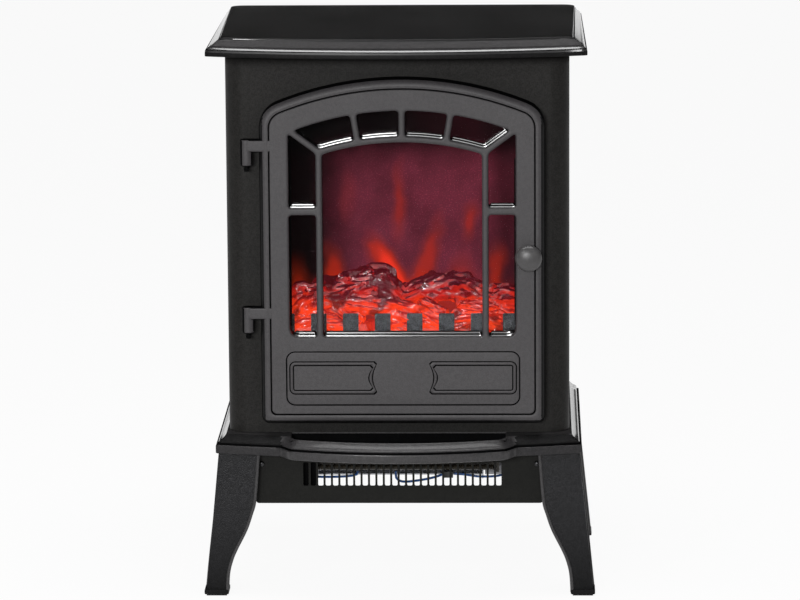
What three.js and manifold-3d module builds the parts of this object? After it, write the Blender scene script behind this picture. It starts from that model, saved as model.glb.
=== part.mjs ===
// Free-standing electric stove fireplace with a hinged door, flame effect and fan heater.
// Millimetres, +Z up, front towards -Y, origin on the floor at the middle of the bounding box.
import * as THREE from 'three';
import { mergeVertices } from 'three/addons/utils/BufferGeometryUtils.js';
import Module from 'manifold-3d';

const wasm = await Module();
wasm.setup();

// ---- clearances ----
const GAP = 0.3;            // between neighbouring solids
const RUN = 0.35;           // radial play of a turning shaft
const THROUGH = 1;          // how far a cutter passes beyond the face it opens

// ---- cabinet ----
const BODY_W = 334;         // width over the side panels
const BODY_D = 257;         // front panel face to back panel face
const BODY_H = 373;         // height of the cabinet between base and lid
const SHEET = 1.5;          // cabinet sheet thickness
const CORNER_R = 20;        // rounded vertical front edges
const RETURN_D = 26;        // how far the front panel wraps round the sides
const FLANGE = 12;          // folded flanges
const LEG_H = 143;          // floor to underside of the base
const BASE_OUT = 12;        // base beyond each side panel
const BASE_H = 18.5;        // height of the base casting
const BASE_REACH = 12.5;    // base in front of the front panel, at its ends
const BASE_BOW = 24;        // bow of the base front
const LIP_REACH = 61;       // ash lip in front of the front panel, at its middle
const LIP_BOW = 20;         // bow of the ash lip
const LIP_SIDE = 68;        // shoulder of the ash lip from the end of the base
const LIP_SHOULDER = 7;     // half length of the curve at each shoulder
const BACK_REACH = 4.5;     // base and lid behind the back panel
const TRAY_IN = 15;         // ash recess inside the shoulders
const TRAY_FLOOR = 2.5;     // metal under the ash recess
const LID_OUT = 17;         // lid beyond each side panel
const LID_H = 17;
const LID_REACH = 18;       // lid in front of the front panel, at its ends
const LID_BOW = 26;
const LID_BORDER = 13;      // sloped border round the raised field
const LID_WALL = 26;        // solid edge left round the hollow under the lid
const LID_SKIN = 4.5;       // lid thickness over its hollow

// ---- legs ----
const LEG_NAMES = { '-1,-1': 'front_left', '1,-1': 'front_right', '-1,1': 'rear_left', '1,1': 'rear_right' };
const LEG_IN = 2.5;         // legs inside the ends of the base
const LEG_SET = 8;          // front legs in front of the front panel, at the base
const LEG_BACK_SET = 6;     // rear legs inside the back panel, at the base
const LEG_SPLAY = 13.5;     // how far a foot stands outwards
const LEG_SPLAY_Y = 4;      // how far a foot stands forwards or backwards
const LEG_EDGE = [          // width of a leg face, and how far down the leg
  [40.2, 0], [41, 0.33], [38.6, 0.446], [34.6, 0.561], [27, 0.698], [23.6, 0.777], [21.8, 0.87], [22.4, 1],
];
const LEG_WALL = 4;
const LEG_RIM = 3.4;        // width of the raised edge
const LEG_RIM_UP = 1.2;     // height of the raised edge
const FOOT_W = 24;
const FOOT_H = 5;
const FOOT_PROUD = 2;       // foot block beyond the leg faces
const PAD_H = 1.2;
const BOLT_INSET = 17;      // bolt from the leg's outer faces
const BOLT_EDGE = 11;       // leg flange beyond the bolt
const BOLT = { r: 3, head: 5.5, headH: 4, grip: 9 };

// ---- door; low and up heights are above its lower edge, down ones below its crown ----
const DOOR_X = 5;           // door centre, right of the cabinet centre
const DOOR_SIDE = 29;       // half width of the door, less than the cabinet's
const DOOR_LIFT = 12.5;     // lower edge above the base
const DOOR_TOP = 21.8;      // crown below the lid
const ARC_R = 325;          // outer arc of the door
const DOOR_CORNER = 26;     // upper corner radius
const DOOR_FOOT_R = 5;      // lower corner radius
const DOOR_PROUD = 20;      // door face in front of the front panel
const DOOR_BACK = 0.5;      // door rim off the front panel
const DOOR_SKIN = 4;
const DOOR_WALL = 4;
const BEAD_W = 10;
const BEAD_DROP = 2.2;      // rounding of the outer bead
const GROOVE_W = 1.2;
const GROOVE_D = 1.4;
const WINDOW_SIDE = 28.2;   // window edge from the door edge
const WINDOW_UP = 86.4;
const WINDOW_DOWN = 31;
const WINDOW_CORNER = 10;
const BAR = 5.8;            // width of the glazing bars
const BAR_SIDE = 29.4;      // vertical bars from the window edge
const RING_DOWN = 58.7;     // middle of the arched bar
const CROSS_DOWN = 129.2;   // middle of the small cross bars
const CROSS_H = 7.1;
const LIGHT_TILT = 0.734;   // slope of the bars that cut off the top corners
const LIGHT_R = 3.5;        // corners of the lights between the bars
const FAN_ANGLE = 9.2 * Math.PI / 180;   // slanted bars of the top lights
const GLASS_T = 3;
const GLASS_LAP = 3.6;      // glass beyond the window edge
const CLIP = { lap: 1.5, t: 1, low: 8, short: 28 };
const FIELD = { margin: 24, up: 18.4, h: 54, r: 9, deep: 0.9 };
const PLAQUE = { in: 25.2, side: 3.2, low: 11, high: 9.9, r: 6, line: 4.4, up: 1.1, waist: 4 };
const KNOB = { side: 12.2, up: 165.3, r: 13, stem: 6, neck: 5.5, depth: 15, boss: 8, screw: 4 };
const CATCH = { off: 1, down: 121, w: 5.2, h: 22, nose: 0.1, lap: 0.8, ear: 7, deep: 9, strike: 1.2 };

// ---- hinge, heights above the door's lower edge ----
const HINGE_OUT = 12.4;     // hinge axis outside the door's left edge
const HINGE_UP = 89.4;      // lower knuckle
const HINGE_DOWN = 85.2;    // upper knuckle
const KNUCKLE_R = 6;
const KNUCKLE_H = 26.4;
const ARM_H = 12.3;
const PIN_R = 2.4;
const PIN_TOP = 4;          // knuckle left solid over the pin
const PIN_NUT = { r: 4.6, t: 3.4 };

// ---- firebox ----
// Opening of the front panel: in from the door edge, then beyond the window.
const MOUTH = { side: 14, low: 9.4, top: 12, corner: 4 };
const LINER = { lap: 2.6, low: 1, high: 5, wall: 1.2, depth: 66 };
const SCREEN = { back: 4, t: 2 };
const FRET = { d: 19, t: 1.5, tabs: 8, ends: 7.9, shift: 5, tab: 15.3, rail: 6, h: 25, foot: 3.4 };
const BED = { front: 0.3, back: 4, side: 14.6, h: 14, wall: 5, skin: 4 };
const LOGS = [              // ends (x, depth in the bed, height over the liner floor) and radii
  { a: [-112, 23, 24], b: [-22, 17, 55], r: [11, 13] },
  { a: [-62, 11, 20], b: [18, 25, 34], r: [12, 10] },
  { a: [-34, 27, 46], b: [10, 10, 22], r: [9, 8] },
  { a: [4, 24, 42], b: [84, 21, 46], r: [12, 13] },
  { a: [30, 10, 20], b: [112, 15, 34], r: [11, 12] },
  { a: [68, 25, 40], b: [108, 23, 40], r: [10, 9] },
];
const FLAME_BOX = { deep: 71.7, h: 150 };
const ROTOR = { d: 96, up: 28, r: 15, shaft: 2, flags: 9, flagW: 14, flagT: 1, ends: 18, spindle: 1.5 };
const ROTOR_MOTOR = { r: 22, len: 18, ear: 6 };
const BUSH = { r: 5, lip: 7, lipT: 1.5 };
const LED = { side: 12, d: 14, t: 1.6, bump: 5, count: 7, rear: 9, back: 12, ends: 20 };

// ---- controls in a recess behind the door, below the firebox ----
const PANEL_HOLE = { side: 38, down: 11, h: 53, corner: 3 };
const PANEL = { lap: 8, lapZ: 6, t: 1.5, deep: 14 };
const ROCKER = { w: 12, h: 18, first: -76, pitch: 28, pivot: 4.2, tilt: 9, deep: 20, side: 0.6, end: 2 };
const ROCKER_PIN_R = 1.5;
const PIN_END = 2.5;        // rocker pin beyond each side of its rocker
const SWITCH_H = 28;
const SWITCH_BACK = 7;      // block left behind the rockers
const DIAL = { u: 50, r: 15, depth: 11, spindle: 3, reach: 9, body: 30, bodyD: 18, ridge: 3 };

// ---- fan heater under the base, drops below its top edge ----
const HEATER = { side: 26, h: 52.7, d: 2, depth: 80, t: 1.2 };
const SLOTS = { count: 27, pitch: 7.28, w: 5.2, drop0: 11.7, drop1: 35.2, x: 3 };
const APRON_SCREW = { drop: 13.1, r: 1.6, head: 3, headT: 1.6, len: 7 };
const LUG = { half: 4.4, t: 5, h: 6 };
const FAN = { d: 52, clear: 2.7, r: 12.5, side: 61, blades: 12, blade: 3.4, disc: 1.2, wall: 1.2, shaft: 2.5,
  play: 3, hub: 4.5, foot: 10 };
const FAN_MOTOR = { r: 16, len: 26, shaft: 2, bracket: 10 };
const ELEMENT = { side: 43, d0: 12, d1: 24, drop0: 2.7, drop1: 23.7, wall: 1.5, coils: 3, coil: 2.2 };
const CUTOUT = { x: 48, w: 9, h: 6, d: 8 };
const LEAD_R = 1.2;

// ---- base underside ----
const BASE_WALL = 13.5;     // rim left in front of the ash recess
const BASE_SKIN = 4;        // base top over the hollows beneath
const RIB = { in: 3, out: 24 };                 // ribs that carry the blower, either side of its end plates
const POCKET = { side: 49, front: 12, back: 22 };
const SIDE_POCKET = { side: 11, w: 32, ends: 52 };
const BOLT_HOLE = 10;

// ---- back, heights above the cabinet's lower edge ----
const VENT = { w: 55, h: 4, pitch: 10, x: 22, rows: 6, low: 60, high: 90 };
const GLAND = { side: 55, up: 43.2, r: 7, flange: 10, bore: 3.6, out: 4.4, in: 12, nut: 4 };
const BLOCK = { w: 44, h: 18, d: 15, up: 19.2, way: 2.5, pitch: 13, deep: 7 };

// ---- derived levels ----
const frontY = LIP_REACH - (LIP_REACH + BODY_D + BACK_REACH) / 2;
const backY = frontY + BODY_D;
const rearY = backY + BACK_REACH;
const baseTop = LEG_H + BASE_H;
const bodyZ0 = baseTop + GAP;
const bodyZ1 = bodyZ0 + BODY_H;
const lidZ0 = bodyZ1 + GAP;
const lidZ1 = lidZ0 + LID_H;
const innerHalf = BODY_W / 2 - SHEET;
const baseHalf = BODY_W / 2 + BASE_OUT;
const legHalf = baseHalf - LEG_IN;
const lipHalf = baseHalf - LIP_SIDE;
const trayHalf = lipHalf - TRAY_IN;
const doorHalf = BODY_W / 2 - DOOR_SIDE;
const doorFaceY = frontY - DOOR_PROUD;
const doorZ0 = baseTop + DOOR_LIFT;
const crownZ = lidZ0 - DOOR_TOP - GAP;
const arcZ = crownZ - ARC_R;
const windowZ0 = doorZ0 + WINDOW_UP;
const windowHalf = doorHalf - WINDOW_SIDE;
const windowR = ARC_R - WINDOW_DOWN;
const barDepth = DOOR_PROUD - DOOR_BACK - GLASS_T - GAP;
const knobX = DOOR_X + windowHalf + KNOB.side;
const ringR = ARC_R - RING_DOWN;
const barX = windowHalf - BAR_SIDE;
const crossZ = crownZ - CROSS_DOWN;
const fieldHalf = doorHalf - FIELD.margin;
const fieldZ = [doorZ0 + FIELD.up, doorZ0 + FIELD.up + FIELD.h];
const knobZ = doorZ0 + KNOB.up;
const catchZ = crownZ - CATCH.down;
const hingeX = DOOR_X - doorHalf - HINGE_OUT;
const hingeY = doorFaceY + KNUCKLE_R;
const hingeZ = [doorZ0 + HINGE_UP, crownZ - HINGE_DOWN];
const pinLift = PIN_R + GAP;
const mouth = { half: doorHalf - MOUTH.side, z0: windowZ0 - MOUTH.low, r: windowR + MOUTH.top };
const linerZ = [mouth.z0 - LINER.low, arcZ + mouth.r + LINER.high];
const linerX = [DOOR_X - mouth.half - LINER.lap, DOOR_X + mouth.half + LINER.lap];
const catchX = linerX[1] + CATCH.off + CATCH.w / 2;
const innerX = [linerX[0] + LINER.wall + GAP, linerX[1] - LINER.wall - GAP];
const hearthZ = linerZ[0] + LINER.wall + GAP;
const screenD = LINER.depth - SCREEN.back;
const bedD = [FRET.d + FRET.foot + GAP + BED.front, screenD - BED.back];
const flameBoxD = LINER.depth + GAP;
const rotorY = frontY + ROTOR.d;
const rotorZ = linerZ[0] + ROTOR.up;
const flangeY = frontY + SHEET + GAP;
const panelY = flangeY + PANEL.deep;
const behindPanel = panelY + PANEL.t + GAP;
const pivotY = panelY + ROCKER.pivot;
const panelHole = { z0: linerZ[0] - PANEL_HOLE.down - PANEL_HOLE.h, z1: linerZ[0] - PANEL_HOLE.down };
const controlZ = (panelHole.z0 + panelHole.z1) / 2;
const heaterY = frontY + HEATER.d;
const heaterTop = LEG_H - GAP;
const heaterHalf = BODY_W / 2 - HEATER.side;
const fanHalf = heaterHalf - FAN.side;
const elementHalf = heaterHalf - ELEMENT.side;
const apronScrewX = heaterHalf - HEATER.t - GAP - LUG.half;
const holeHalf = doorHalf - PANEL_HOLE.side;
const bedHalf = linerX[1] - DOOR_X - BED.side;
const glandX = BODY_W / 2 - GLAND.side;
const fanY = frontY + FAN.d;
const fanZ = heaterTop - FAN_MOTOR.r - FAN.clear;
const apronScrewZ = heaterTop - APRON_SCREW.drop;
const underElement = heaterTop - ELEMENT.drop1 - GAP;
const glandZ = bodyZ0 + GLAND.up;

// ---- solids from three.js shapes ----
function solid(geometry) {
  const bare = geometry.clone();
  bare.deleteAttribute('normal');
  bare.deleteAttribute('uv');
  const merged = mergeVertices(bare, 1e-5);
  return new wasm.Manifold(new wasm.Mesh({
    numProp: 3,
    vertProperties: new Float32Array(merged.attributes.position.array),
    triVerts: new Uint32Array(merged.index.array),
  }));
}

function geometryOf(body) {
  const mesh = body.getMesh();
  const geometry = new THREE.BufferGeometry();
  geometry.setAttribute('position', new THREE.BufferAttribute(new Float32Array(mesh.vertProperties), 3));
  geometry.setIndex(new THREE.BufferAttribute(new Uint32Array(mesh.triVerts), 1));
  geometry.computeVertexNormals();
  return geometry;
}

const join = (first, ...rest) => rest.reduce((body, other) => body.add(other), first);
const cut = (first, ...rest) => rest.reduce((body, other) => body.subtract(other), first);

function box(x0, x1, y0, y1, z0, z1) {
  const geometry = new THREE.BoxGeometry(x1 - x0, y1 - y0, z1 - z0);
  return solid(geometry.translate((x0 + x1) / 2, (y0 + y1) / 2, (z0 + z1) / 2));
}

// A round bar along x, y or z that starts at the given point.
function bar(axis, start, radius, length, sides = 20, endRadius = radius) {
  const geometry = new THREE.CylinderGeometry(endRadius, radius, length, sides).translate(0, length / 2, 0);
  if (axis === 'x') geometry.rotateZ(-Math.PI / 2);
  if (axis === 'z') geometry.rotateX(Math.PI / 2);
  return solid(geometry.translate(...start));
}

function extruded(shape, depth, curveSegments = 5) {
  return new THREE.ExtrudeGeometry(shape, { depth, bevelEnabled: false, curveSegments });
}

// Outline in plan, raised from z0 to z1.
const raised = (shape, z0, z1, smooth) => solid(extruded(shape, z1 - z0, smooth).translate(0, 0, z0));

// Outline seen from the front (x, z), running from y0 back to y1.
const frontal = (shape, y0, y1, smooth) =>
  solid(extruded(shape, y1 - y0, smooth).rotateX(Math.PI / 2).translate(0, y1, 0));

// Outline seen from the side (y, z), running from x0 to x1.
const sideways = (shape, x0, x1, smooth) =>
  solid(extruded(shape, x1 - x0, smooth).rotateX(Math.PI / 2).rotateZ(Math.PI / 2).translate(x0, 0, 0));

const outline = (points) => new THREE.Shape(points.map(([x, y]) => new THREE.Vector2(x, y)));

function roundedRect(x0, x1, y0, y1, r) {
  const shape = new THREE.Shape();
  shape.moveTo(x0 + r, y0);
  shape.lineTo(x1 - r, y0);
  shape.absarc(x1 - r, y0 + r, r, -Math.PI / 2, 0);
  shape.lineTo(x1, y1 - r);
  shape.absarc(x1 - r, y1 - r, r, 0, Math.PI / 2);
  shape.lineTo(x0 + r, y1);
  shape.absarc(x0 + r, y1 - r, r, Math.PI / 2, Math.PI);
  shape.lineTo(x0, y0 + r);
  shape.absarc(x0 + r, y0 + r, r, Math.PI, 1.5 * Math.PI);
  return shape;
}

// A solid that follows one plan outline while it draws in, level by level: [height, inset].
function moulded(shape, half, z0, levels) {
  const steps = levels.length - 1;
  const geometry = new THREE.ExtrudeGeometry(shape, { depth: steps, steps, bevelEnabled: false });
  const position = geometry.attributes.position;
  const middle = (half.y0 + half.y1) / 2;
  const halfY = (half.y1 - half.y0) / 2;
  for (let i = 0; i < position.count; i += 1) {
    const [height, inset] = levels[Math.round(position.getZ(i))];
    position.setX(i, position.getX(i) * (1 - inset / half.x));
    position.setY(i, middle + (position.getY(i) - middle) * (1 - inset / halfY));
    position.setZ(i, z0 + height);
  }
  return solid(geometry);
}

// ---- plan outlines ----
function bowedPlan(half, endY, bow, back) {
  const radius = (half * half + bow * bow) / (2 * bow);
  const angle = Math.asin(half / radius);
  const shape = new THREE.Shape();
  shape.moveTo(half, back);
  shape.lineTo(-half, back);
  shape.lineTo(-half, endY);
  shape.absarc(0, endY + radius - bow, radius, -Math.PI / 2 - angle, -Math.PI / 2 + angle);
  return shape;
}

const baseFront = (x) => frontY - BASE_REACH - BASE_BOW * (1 - (x / baseHalf) ** 2);
const lipFront = (x) => frontY - LIP_REACH + LIP_BOW * (x / lipHalf) ** 2;

// Front line of the base at x: bowed ends, an S-curve at each shoulder, then the ash lip.
function plinthFront(x) {
  const t = (Math.abs(x) - lipHalf + LIP_SHOULDER) / (2 * LIP_SHOULDER);
  const ease = THREE.MathUtils.smoothstep(t, 0, 1);
  return THREE.MathUtils.lerp(lipFront(x), baseFront(x), ease);
}

function plinthPlan() {
  const half = baseHalf;
  const inner = lipHalf - LIP_SHOULDER;
  const outer = lipHalf + LIP_SHOULDER;
  const xs = [];
  for (let i = 0; i < 4; i += 1) xs.push(-half + (half - outer) * i / 4);
  for (let i = 0; i < 5; i += 1) xs.push(-outer + (outer - inner) * i / 5);
  for (let i = 0; i < 10; i += 1) xs.push(-inner + 2 * inner * i / 10);
  for (let i = 0; i < 5; i += 1) xs.push(inner + (outer - inner) * i / 5);
  for (let i = 0; i <= 4; i += 1) xs.push(outer + (half - outer) * i / 4);
  return outline([[half, rearY], [-half, rearY], ...xs.map((x) => [x, plinthFront(x)])]);
}

// ---- cabinet ----
function topLid() {
  const half = BODY_W / 2 + LID_OUT;
  const extent = { x: half, y0: frontY - LID_REACH - LID_BOW, y1: rearY };
  const plan = bowedPlan(half, frontY - LID_REACH, LID_BOW, rearY);
  const nose = 2.2;
  const edge = 6.5;
  const border = moulded(plan, extent, lidZ0, [
    [0, nose], [nose / 2, 0.4], [edge - nose, 0], [edge - nose / 3, 0.6], [edge, nose],
    [edge + 2.2, LID_BORDER * 0.45], [LID_H - 4, LID_BORDER - 2], [LID_H - 3, LID_BORDER],
  ]);
  const fieldHalf = half - LID_BORDER + 1.5;
  const fieldEnd = frontY - LID_REACH + LID_BORDER;
  const fieldBow = LID_BOW / 2;
  const fieldPlan = bowedPlan(fieldHalf, fieldEnd, fieldBow, rearY - LID_BORDER + 1.5);
  const field = moulded(fieldPlan, { x: fieldHalf, y0: fieldEnd - fieldBow, y1: rearY - LID_BORDER + 1.5 },
    lidZ0 + LID_H - 5, [[0, 0], [3.6, 0], [4.6, 0.5], [5, 1.5]]);
  const hollow = box(-BODY_W / 2 + LID_WALL - FLANGE, BODY_W / 2 - LID_WALL + FLANGE,
    frontY + LID_WALL - FLANGE, backY - LID_WALL + FLANGE, lidZ0 - THROUGH, lidZ1 - LID_SKIN);
  return cut(join(border, field), hollow);
}

function frontPanel() {
  const half = BODY_W / 2;
  const wrap = (outer, inset, depth) => {
    const r = CORNER_R - inset;
    const shape = new THREE.Shape();
    shape.moveTo(-outer, frontY + depth);
    shape.lineTo(-outer, frontY + CORNER_R);
    shape.absarc(-outer + r, frontY + CORNER_R, r, Math.PI, 1.5 * Math.PI);
    shape.lineTo(outer - r, frontY + inset);
    shape.absarc(outer - r, frontY + CORNER_R, r, -Math.PI / 2, 0);
    shape.lineTo(outer, frontY + depth);
    return shape;
  };
  const skin = cut(
    raised(wrap(half, 0, RETURN_D), bodyZ0, bodyZ1, 4),
    raised(wrap(innerHalf, SHEET, RETURN_D + THROUGH), bodyZ0 + SHEET, bodyZ1 - SHEET, 4),
    box(FLANGE - innerHalf, innerHalf - FLANGE, frontY + SHEET + FLANGE, backY, bodyZ0 - THROUGH,
      bodyZ1 + THROUGH),
  );
  const past = (shape) => frontal(shape, frontY - THROUGH, frontY + SHEET + THROUGH);
  const holes = hingeZ.map((z) =>
    bar('y', [hingeX, frontY - THROUGH, z - pinLift], PIN_R + GAP, SHEET + 4 * THROUGH, 16));
  return cut(skin,
    past(archShape(mouth.half, mouth.z0, mouth.r, MOUTH.corner)),
    past(roundedRect(DOOR_X - holeHalf, DOOR_X + holeHalf, panelHole.z0, panelHole.z1,
      PANEL_HOLE.corner)),
    past(magnetHole()),
    ...holes);
}

function sidePanel(side) {
  const x = (near, far) => (side > 0 ? [near, far] : [-far, -near]);
  const half = BODY_W / 2;
  const y0 = frontY + RETURN_D + GAP;
  const y1 = backY - SHEET - GAP;
  const wall = box(...x(innerHalf, half), y0, y1, bodyZ0, bodyZ1);
  const lap = box(...x(innerHalf - GAP - SHEET, innerHalf - GAP), frontY + CORNER_R + GAP, y0 + FLANGE,
    bodyZ0 + SHEET + GAP, bodyZ1 - SHEET - GAP);
  const tie = box(...x(innerHalf - GAP - SHEET, half - SHEET / 2), y0, y0 + FLANGE, bodyZ0 + SHEET + GAP,
    bodyZ1 - SHEET - GAP);
  const backFold = box(...x(half - FLANGE, half), y1 - SHEET, y1, bodyZ0, bodyZ1);
  const top = box(...x(half - FLANGE, half), y0 + FLANGE, y1, bodyZ1 - SHEET, bodyZ1);
  const bottom = box(...x(half - FLANGE, half), y0 + FLANGE, y1, bodyZ0, bodyZ0 + SHEET);
  return join(wall, lap, tie, backFold, top, bottom);
}

function backPanel() {
  const half = BODY_W / 2 - GAP;
  const plate = box(-half, half, backY - SHEET, backY, bodyZ0 + GAP, bodyZ1 - GAP);
  const cutters = [bar('y', [glandX, backY - SHEET - THROUGH, glandZ], GLAND.r + GAP, SHEET + 2 * THROUGH)];
  for (const z0 of [bodyZ0 + VENT.low, bodyZ1 - VENT.high]) {
    for (let row = 0; row < VENT.rows; row += 1) {
      const z = z0 + row * VENT.pitch;
      for (const x of [-VENT.x - VENT.w, VENT.x]) {
        cutters.push(box(x, x + VENT.w, backY - SHEET - THROUGH, backY + THROUGH, z, z + VENT.h));
      }
    }
  }
  return cut(plate, ...cutters);
}

function basePlinth() {
  const extent = { x: baseHalf, y0: frontY - LIP_REACH, y1: rearY };
  const casting = moulded(plinthPlan(), extent, LEG_H, [
    [0, 2.5], [3, 0], [8.6, 0], [9.5, 0.9], [8.8, 5.2], [11.6, 5.6], [13, 6.8], [15.2, 9.4], [BASE_H, 12.5],
  ]);
  const xs = [];
  for (let i = 0; i <= 10; i += 1) xs.push(-trayHalf + 2 * trayHalf * i / 10);
  const tray = raised(outline([[trayHalf, frontY + 1], [-trayHalf, frontY + 1],
    ...xs.map((x) => [x, lipFront(x) + BASE_WALL])]), LEG_H + TRAY_FLOOR, baseTop + THROUGH);
  const ceiling = baseTop - BASE_SKIN;
  const pocketHalf = baseHalf - POCKET.side;
  const rib = [fanHalf - RIB.in, fanHalf + RIB.out];
  const pockets = [[-pocketHalf, -rib[1]], [-rib[0], rib[0]], [rib[1], pocketHalf]].map(([x0, x1]) =>
    box(x0, x1, frontY + POCKET.front, backY - POCKET.back, LEG_H - THROUGH, ceiling));
  const sideEnd = baseHalf - SIDE_POCKET.side;
  const sides = [[-sideEnd, SIDE_POCKET.w - sideEnd], [sideEnd - SIDE_POCKET.w, sideEnd]].map(([x0, x1]) =>
    box(x0, x1, frontY + SIDE_POCKET.ends, backY - SIDE_POCKET.ends, LEG_H - THROUGH, ceiling));
  const lugY = heaterY + HEATER.t + GAP;
  const lugs = [-1, 1].map((side) => box(side * apronScrewX - LUG.half, side * apronScrewX + LUG.half,
    lugY, lugY + LUG.t, apronScrewZ - LUG.h, LEG_H + THROUGH));
  const holes = [-1, 1].map((side) => bar('y', [side * apronScrewX, heaterY, apronScrewZ],
    APRON_SCREW.r + GAP, HEATER.t + LUG.t + 2 * THROUGH, 12));
  const bolts = legPlaces().map(([sx, sy]) => {
    const [x, y] = boltPlace(sx, sy);
    return bar('z', [x, y, LEG_H - THROUGH], BOLT.r + GAP, BOLT_HOLE + THROUGH, 12);
  });
  return cut(join(cut(casting, tray, ...pockets, ...sides), ...lugs), ...holes, ...bolts);
}

// ---- legs ----
const legPlaces = () => [[-1, -1], [1, -1], [-1, 1], [1, 1]];
const legCornerY = (sy) => (sy < 0 ? frontY - LEG_SET : backY - LEG_BACK_SET);
const boltPlace = (sx, sy) => [sx * (legHalf - BOLT_INSET), legCornerY(sy) - sy * BOLT_INSET];

// Width of a leg face at each height, from the outer edge to the scrolled inner edge.
const legDrop = heaterTop - PAD_H - GAP - FOOT_H / 2;
const legEdge = new THREE.SplineCurve(LEG_EDGE.map(([w, share]) => new THREE.Vector2(w, -share * legDrop)));

function legFace(inner, outer) {
  const points = legEdge.getPoints(13);
  const right = points.map((p) => [p.x - inner, p.y]);
  const edge = points.map((p) => [p.x - outer, p.y]).reverse();
  const left = outer === null ? [[0, points.at(-1).y], [0, 0]] : edge;
  return outline([...right, ...left]);
}

// One front left leg, its outer top corner at the origin, splayed outwards to the foot.
function leg() {
  const top = LEG_H - GAP;
  const face = join(
    frontal(legFace(0, null), 0, LEG_WALL),
    frontal(legFace(0, LEG_RIM), -LEG_RIM_UP, LEG_WALL),
  );
  const cheek = join(
    sideways(legFace(0, null), 0, LEG_WALL),
    sideways(legFace(0, LEG_RIM), -LEG_RIM_UP, LEG_WALL),
  );
  const footDrop = PAD_H + GAP - top;
  const foot = box(-FOOT_PROUD, FOOT_W - FOOT_PROUD, -FOOT_PROUD, FOOT_W - FOOT_PROUD, footDrop,
    footDrop + FOOT_H);
  const shelf = box(1, BOLT_INSET + BOLT_EDGE, 1, BOLT_INSET + BOLT_EDGE, -LEG_WALL, 0);
  const bolt = bar('z', [BOLT_INSET, BOLT_INSET, -LEG_WALL - THROUGH], BOLT.r + GAP,
    LEG_WALL + 2 * THROUGH, 12);
  const body = cut(join(face, cheek, foot, shelf), bolt);
  const geometry = geometryOf(body);
  const position = geometry.attributes.position;
  for (let i = 0; i < position.count; i += 1) {
    const fall = Math.min(1, Math.max(0, -LEG_WALL - position.getZ(i)) / (-LEG_WALL - footDrop - FOOT_H));
    position.setX(i, position.getX(i) - LEG_SPLAY * fall);
    position.setY(i, position.getY(i) - LEG_SPLAY_Y * fall);
  }
  return geometry;
}

const footPad = () => box(-LEG_SPLAY, FOOT_W - 2 * FOOT_PROUD - LEG_SPLAY, -LEG_SPLAY_Y,
  FOOT_W - 2 * FOOT_PROUD - LEG_SPLAY_Y, GAP - LEG_H, GAP - LEG_H + PAD_H);

function legBolt() {
  const seat = -LEG_WALL - GAP;
  const head = bar('z', [BOLT_INSET, BOLT_INSET, seat - BOLT.headH], BOLT.head, BOLT.headH, 6);
  return join(head, bar('z', [BOLT_INSET, BOLT_INSET, seat - THROUGH], BOLT.r, LEG_WALL + BOLT.grip, 12));
}

// ---- door outlines, drawn in (x, z) ----
function archShape(half, z0, radius, corner, x = DOOR_X) {
  const rise = Math.sqrt(radius * radius - half * half);
  const angle = Math.atan2(rise, half);
  const shape = new THREE.Shape();
  shape.moveTo(x - half + corner, z0);
  shape.lineTo(x + half - corner, z0);
  shape.absarc(x + half - corner, z0 + corner, corner, -Math.PI / 2, 0);
  shape.lineTo(x + half, arcZ + rise);
  shape.absarc(x, arcZ, radius, angle, Math.PI - angle);
  shape.lineTo(x - half, z0 + corner);
  shape.absarc(x - half + corner, z0 + corner, corner, Math.PI, 1.5 * Math.PI);
  return shape;
}

// Door outline drawn in by an inset: arched top with round upper corners.
function doorShape(inset) {
  const half = doorHalf - inset;
  const radius = ARC_R - inset;
  const corner = DOOR_CORNER - inset;
  const foot = Math.max(DOOR_FOOT_R - inset, 1);
  const side = half - corner;
  const cornerZ = arcZ + Math.sqrt((radius - corner) ** 2 - side ** 2);
  const angle = Math.atan2(cornerZ - arcZ, side);
  const shape = new THREE.Shape();
  const z0 = doorZ0 + inset;
  shape.moveTo(DOOR_X - half + foot, z0);
  shape.lineTo(DOOR_X + half - foot, z0);
  shape.absarc(DOOR_X + half - foot, z0 + foot, foot, -Math.PI / 2, 0);
  shape.lineTo(DOOR_X + half, cornerZ);
  shape.absarc(DOOR_X + side, cornerZ, corner, 0, angle);
  shape.absarc(DOOR_X, arcZ, radius, angle, Math.PI - angle);
  shape.absarc(DOOR_X - side, cornerZ, corner, Math.PI - angle, Math.PI);
  shape.lineTo(DOOR_X - half, z0 + foot);
  shape.absarc(DOOR_X - half + foot, z0 + foot, foot, Math.PI, 1.5 * Math.PI);
  return shape;
}

const windowShape = (grow) =>
  archShape(windowHalf + grow, windowZ0 - grow, windowR + grow, WINDOW_CORNER + grow);

// Outline through points [u, z, radius], cut back by the radius at each corner and rounded there.
function softOutline(points, side = 1) {
  const shape = new THREE.Shape();
  const spot = ([u, z]) => new THREE.Vector2(DOOR_X + side * u, z);
  const near = (point, other) => {
    const [from, to] = [spot(point), spot(other)];
    return from.lerp(to, point[2] / from.distanceTo(to));
  };
  points.forEach((point, i) => {
    const before = near(point, points.at(i - 1));
    const after = near(point, points[(i + 1) % points.length]);
    if (i === 0) shape.moveTo(before.x, before.y);
    else shape.lineTo(before.x, before.y);
    const corner = spot(point);
    if (point[2] > 0) shape.quadraticCurveTo(corner.x, corner.y, after.x, after.y);
  });
  return shape;
}

// Points of an arc round the door's arc centre, between two of its points.
function arcBetween([u0, z0], [u1, z1], count) {
  const radius = Math.hypot(u0, z0 - arcZ);
  const start = Math.atan2(z0 - arcZ, u0);
  const turn = Math.atan2(z1 - arcZ, u1) - start;
  return Array.from({ length: count - 1 }, (_, i) => {
    const angle = start + turn * (i + 1) / count;
    return [radius * Math.cos(angle), arcZ + radius * Math.sin(angle), 0];
  });
}

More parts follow.
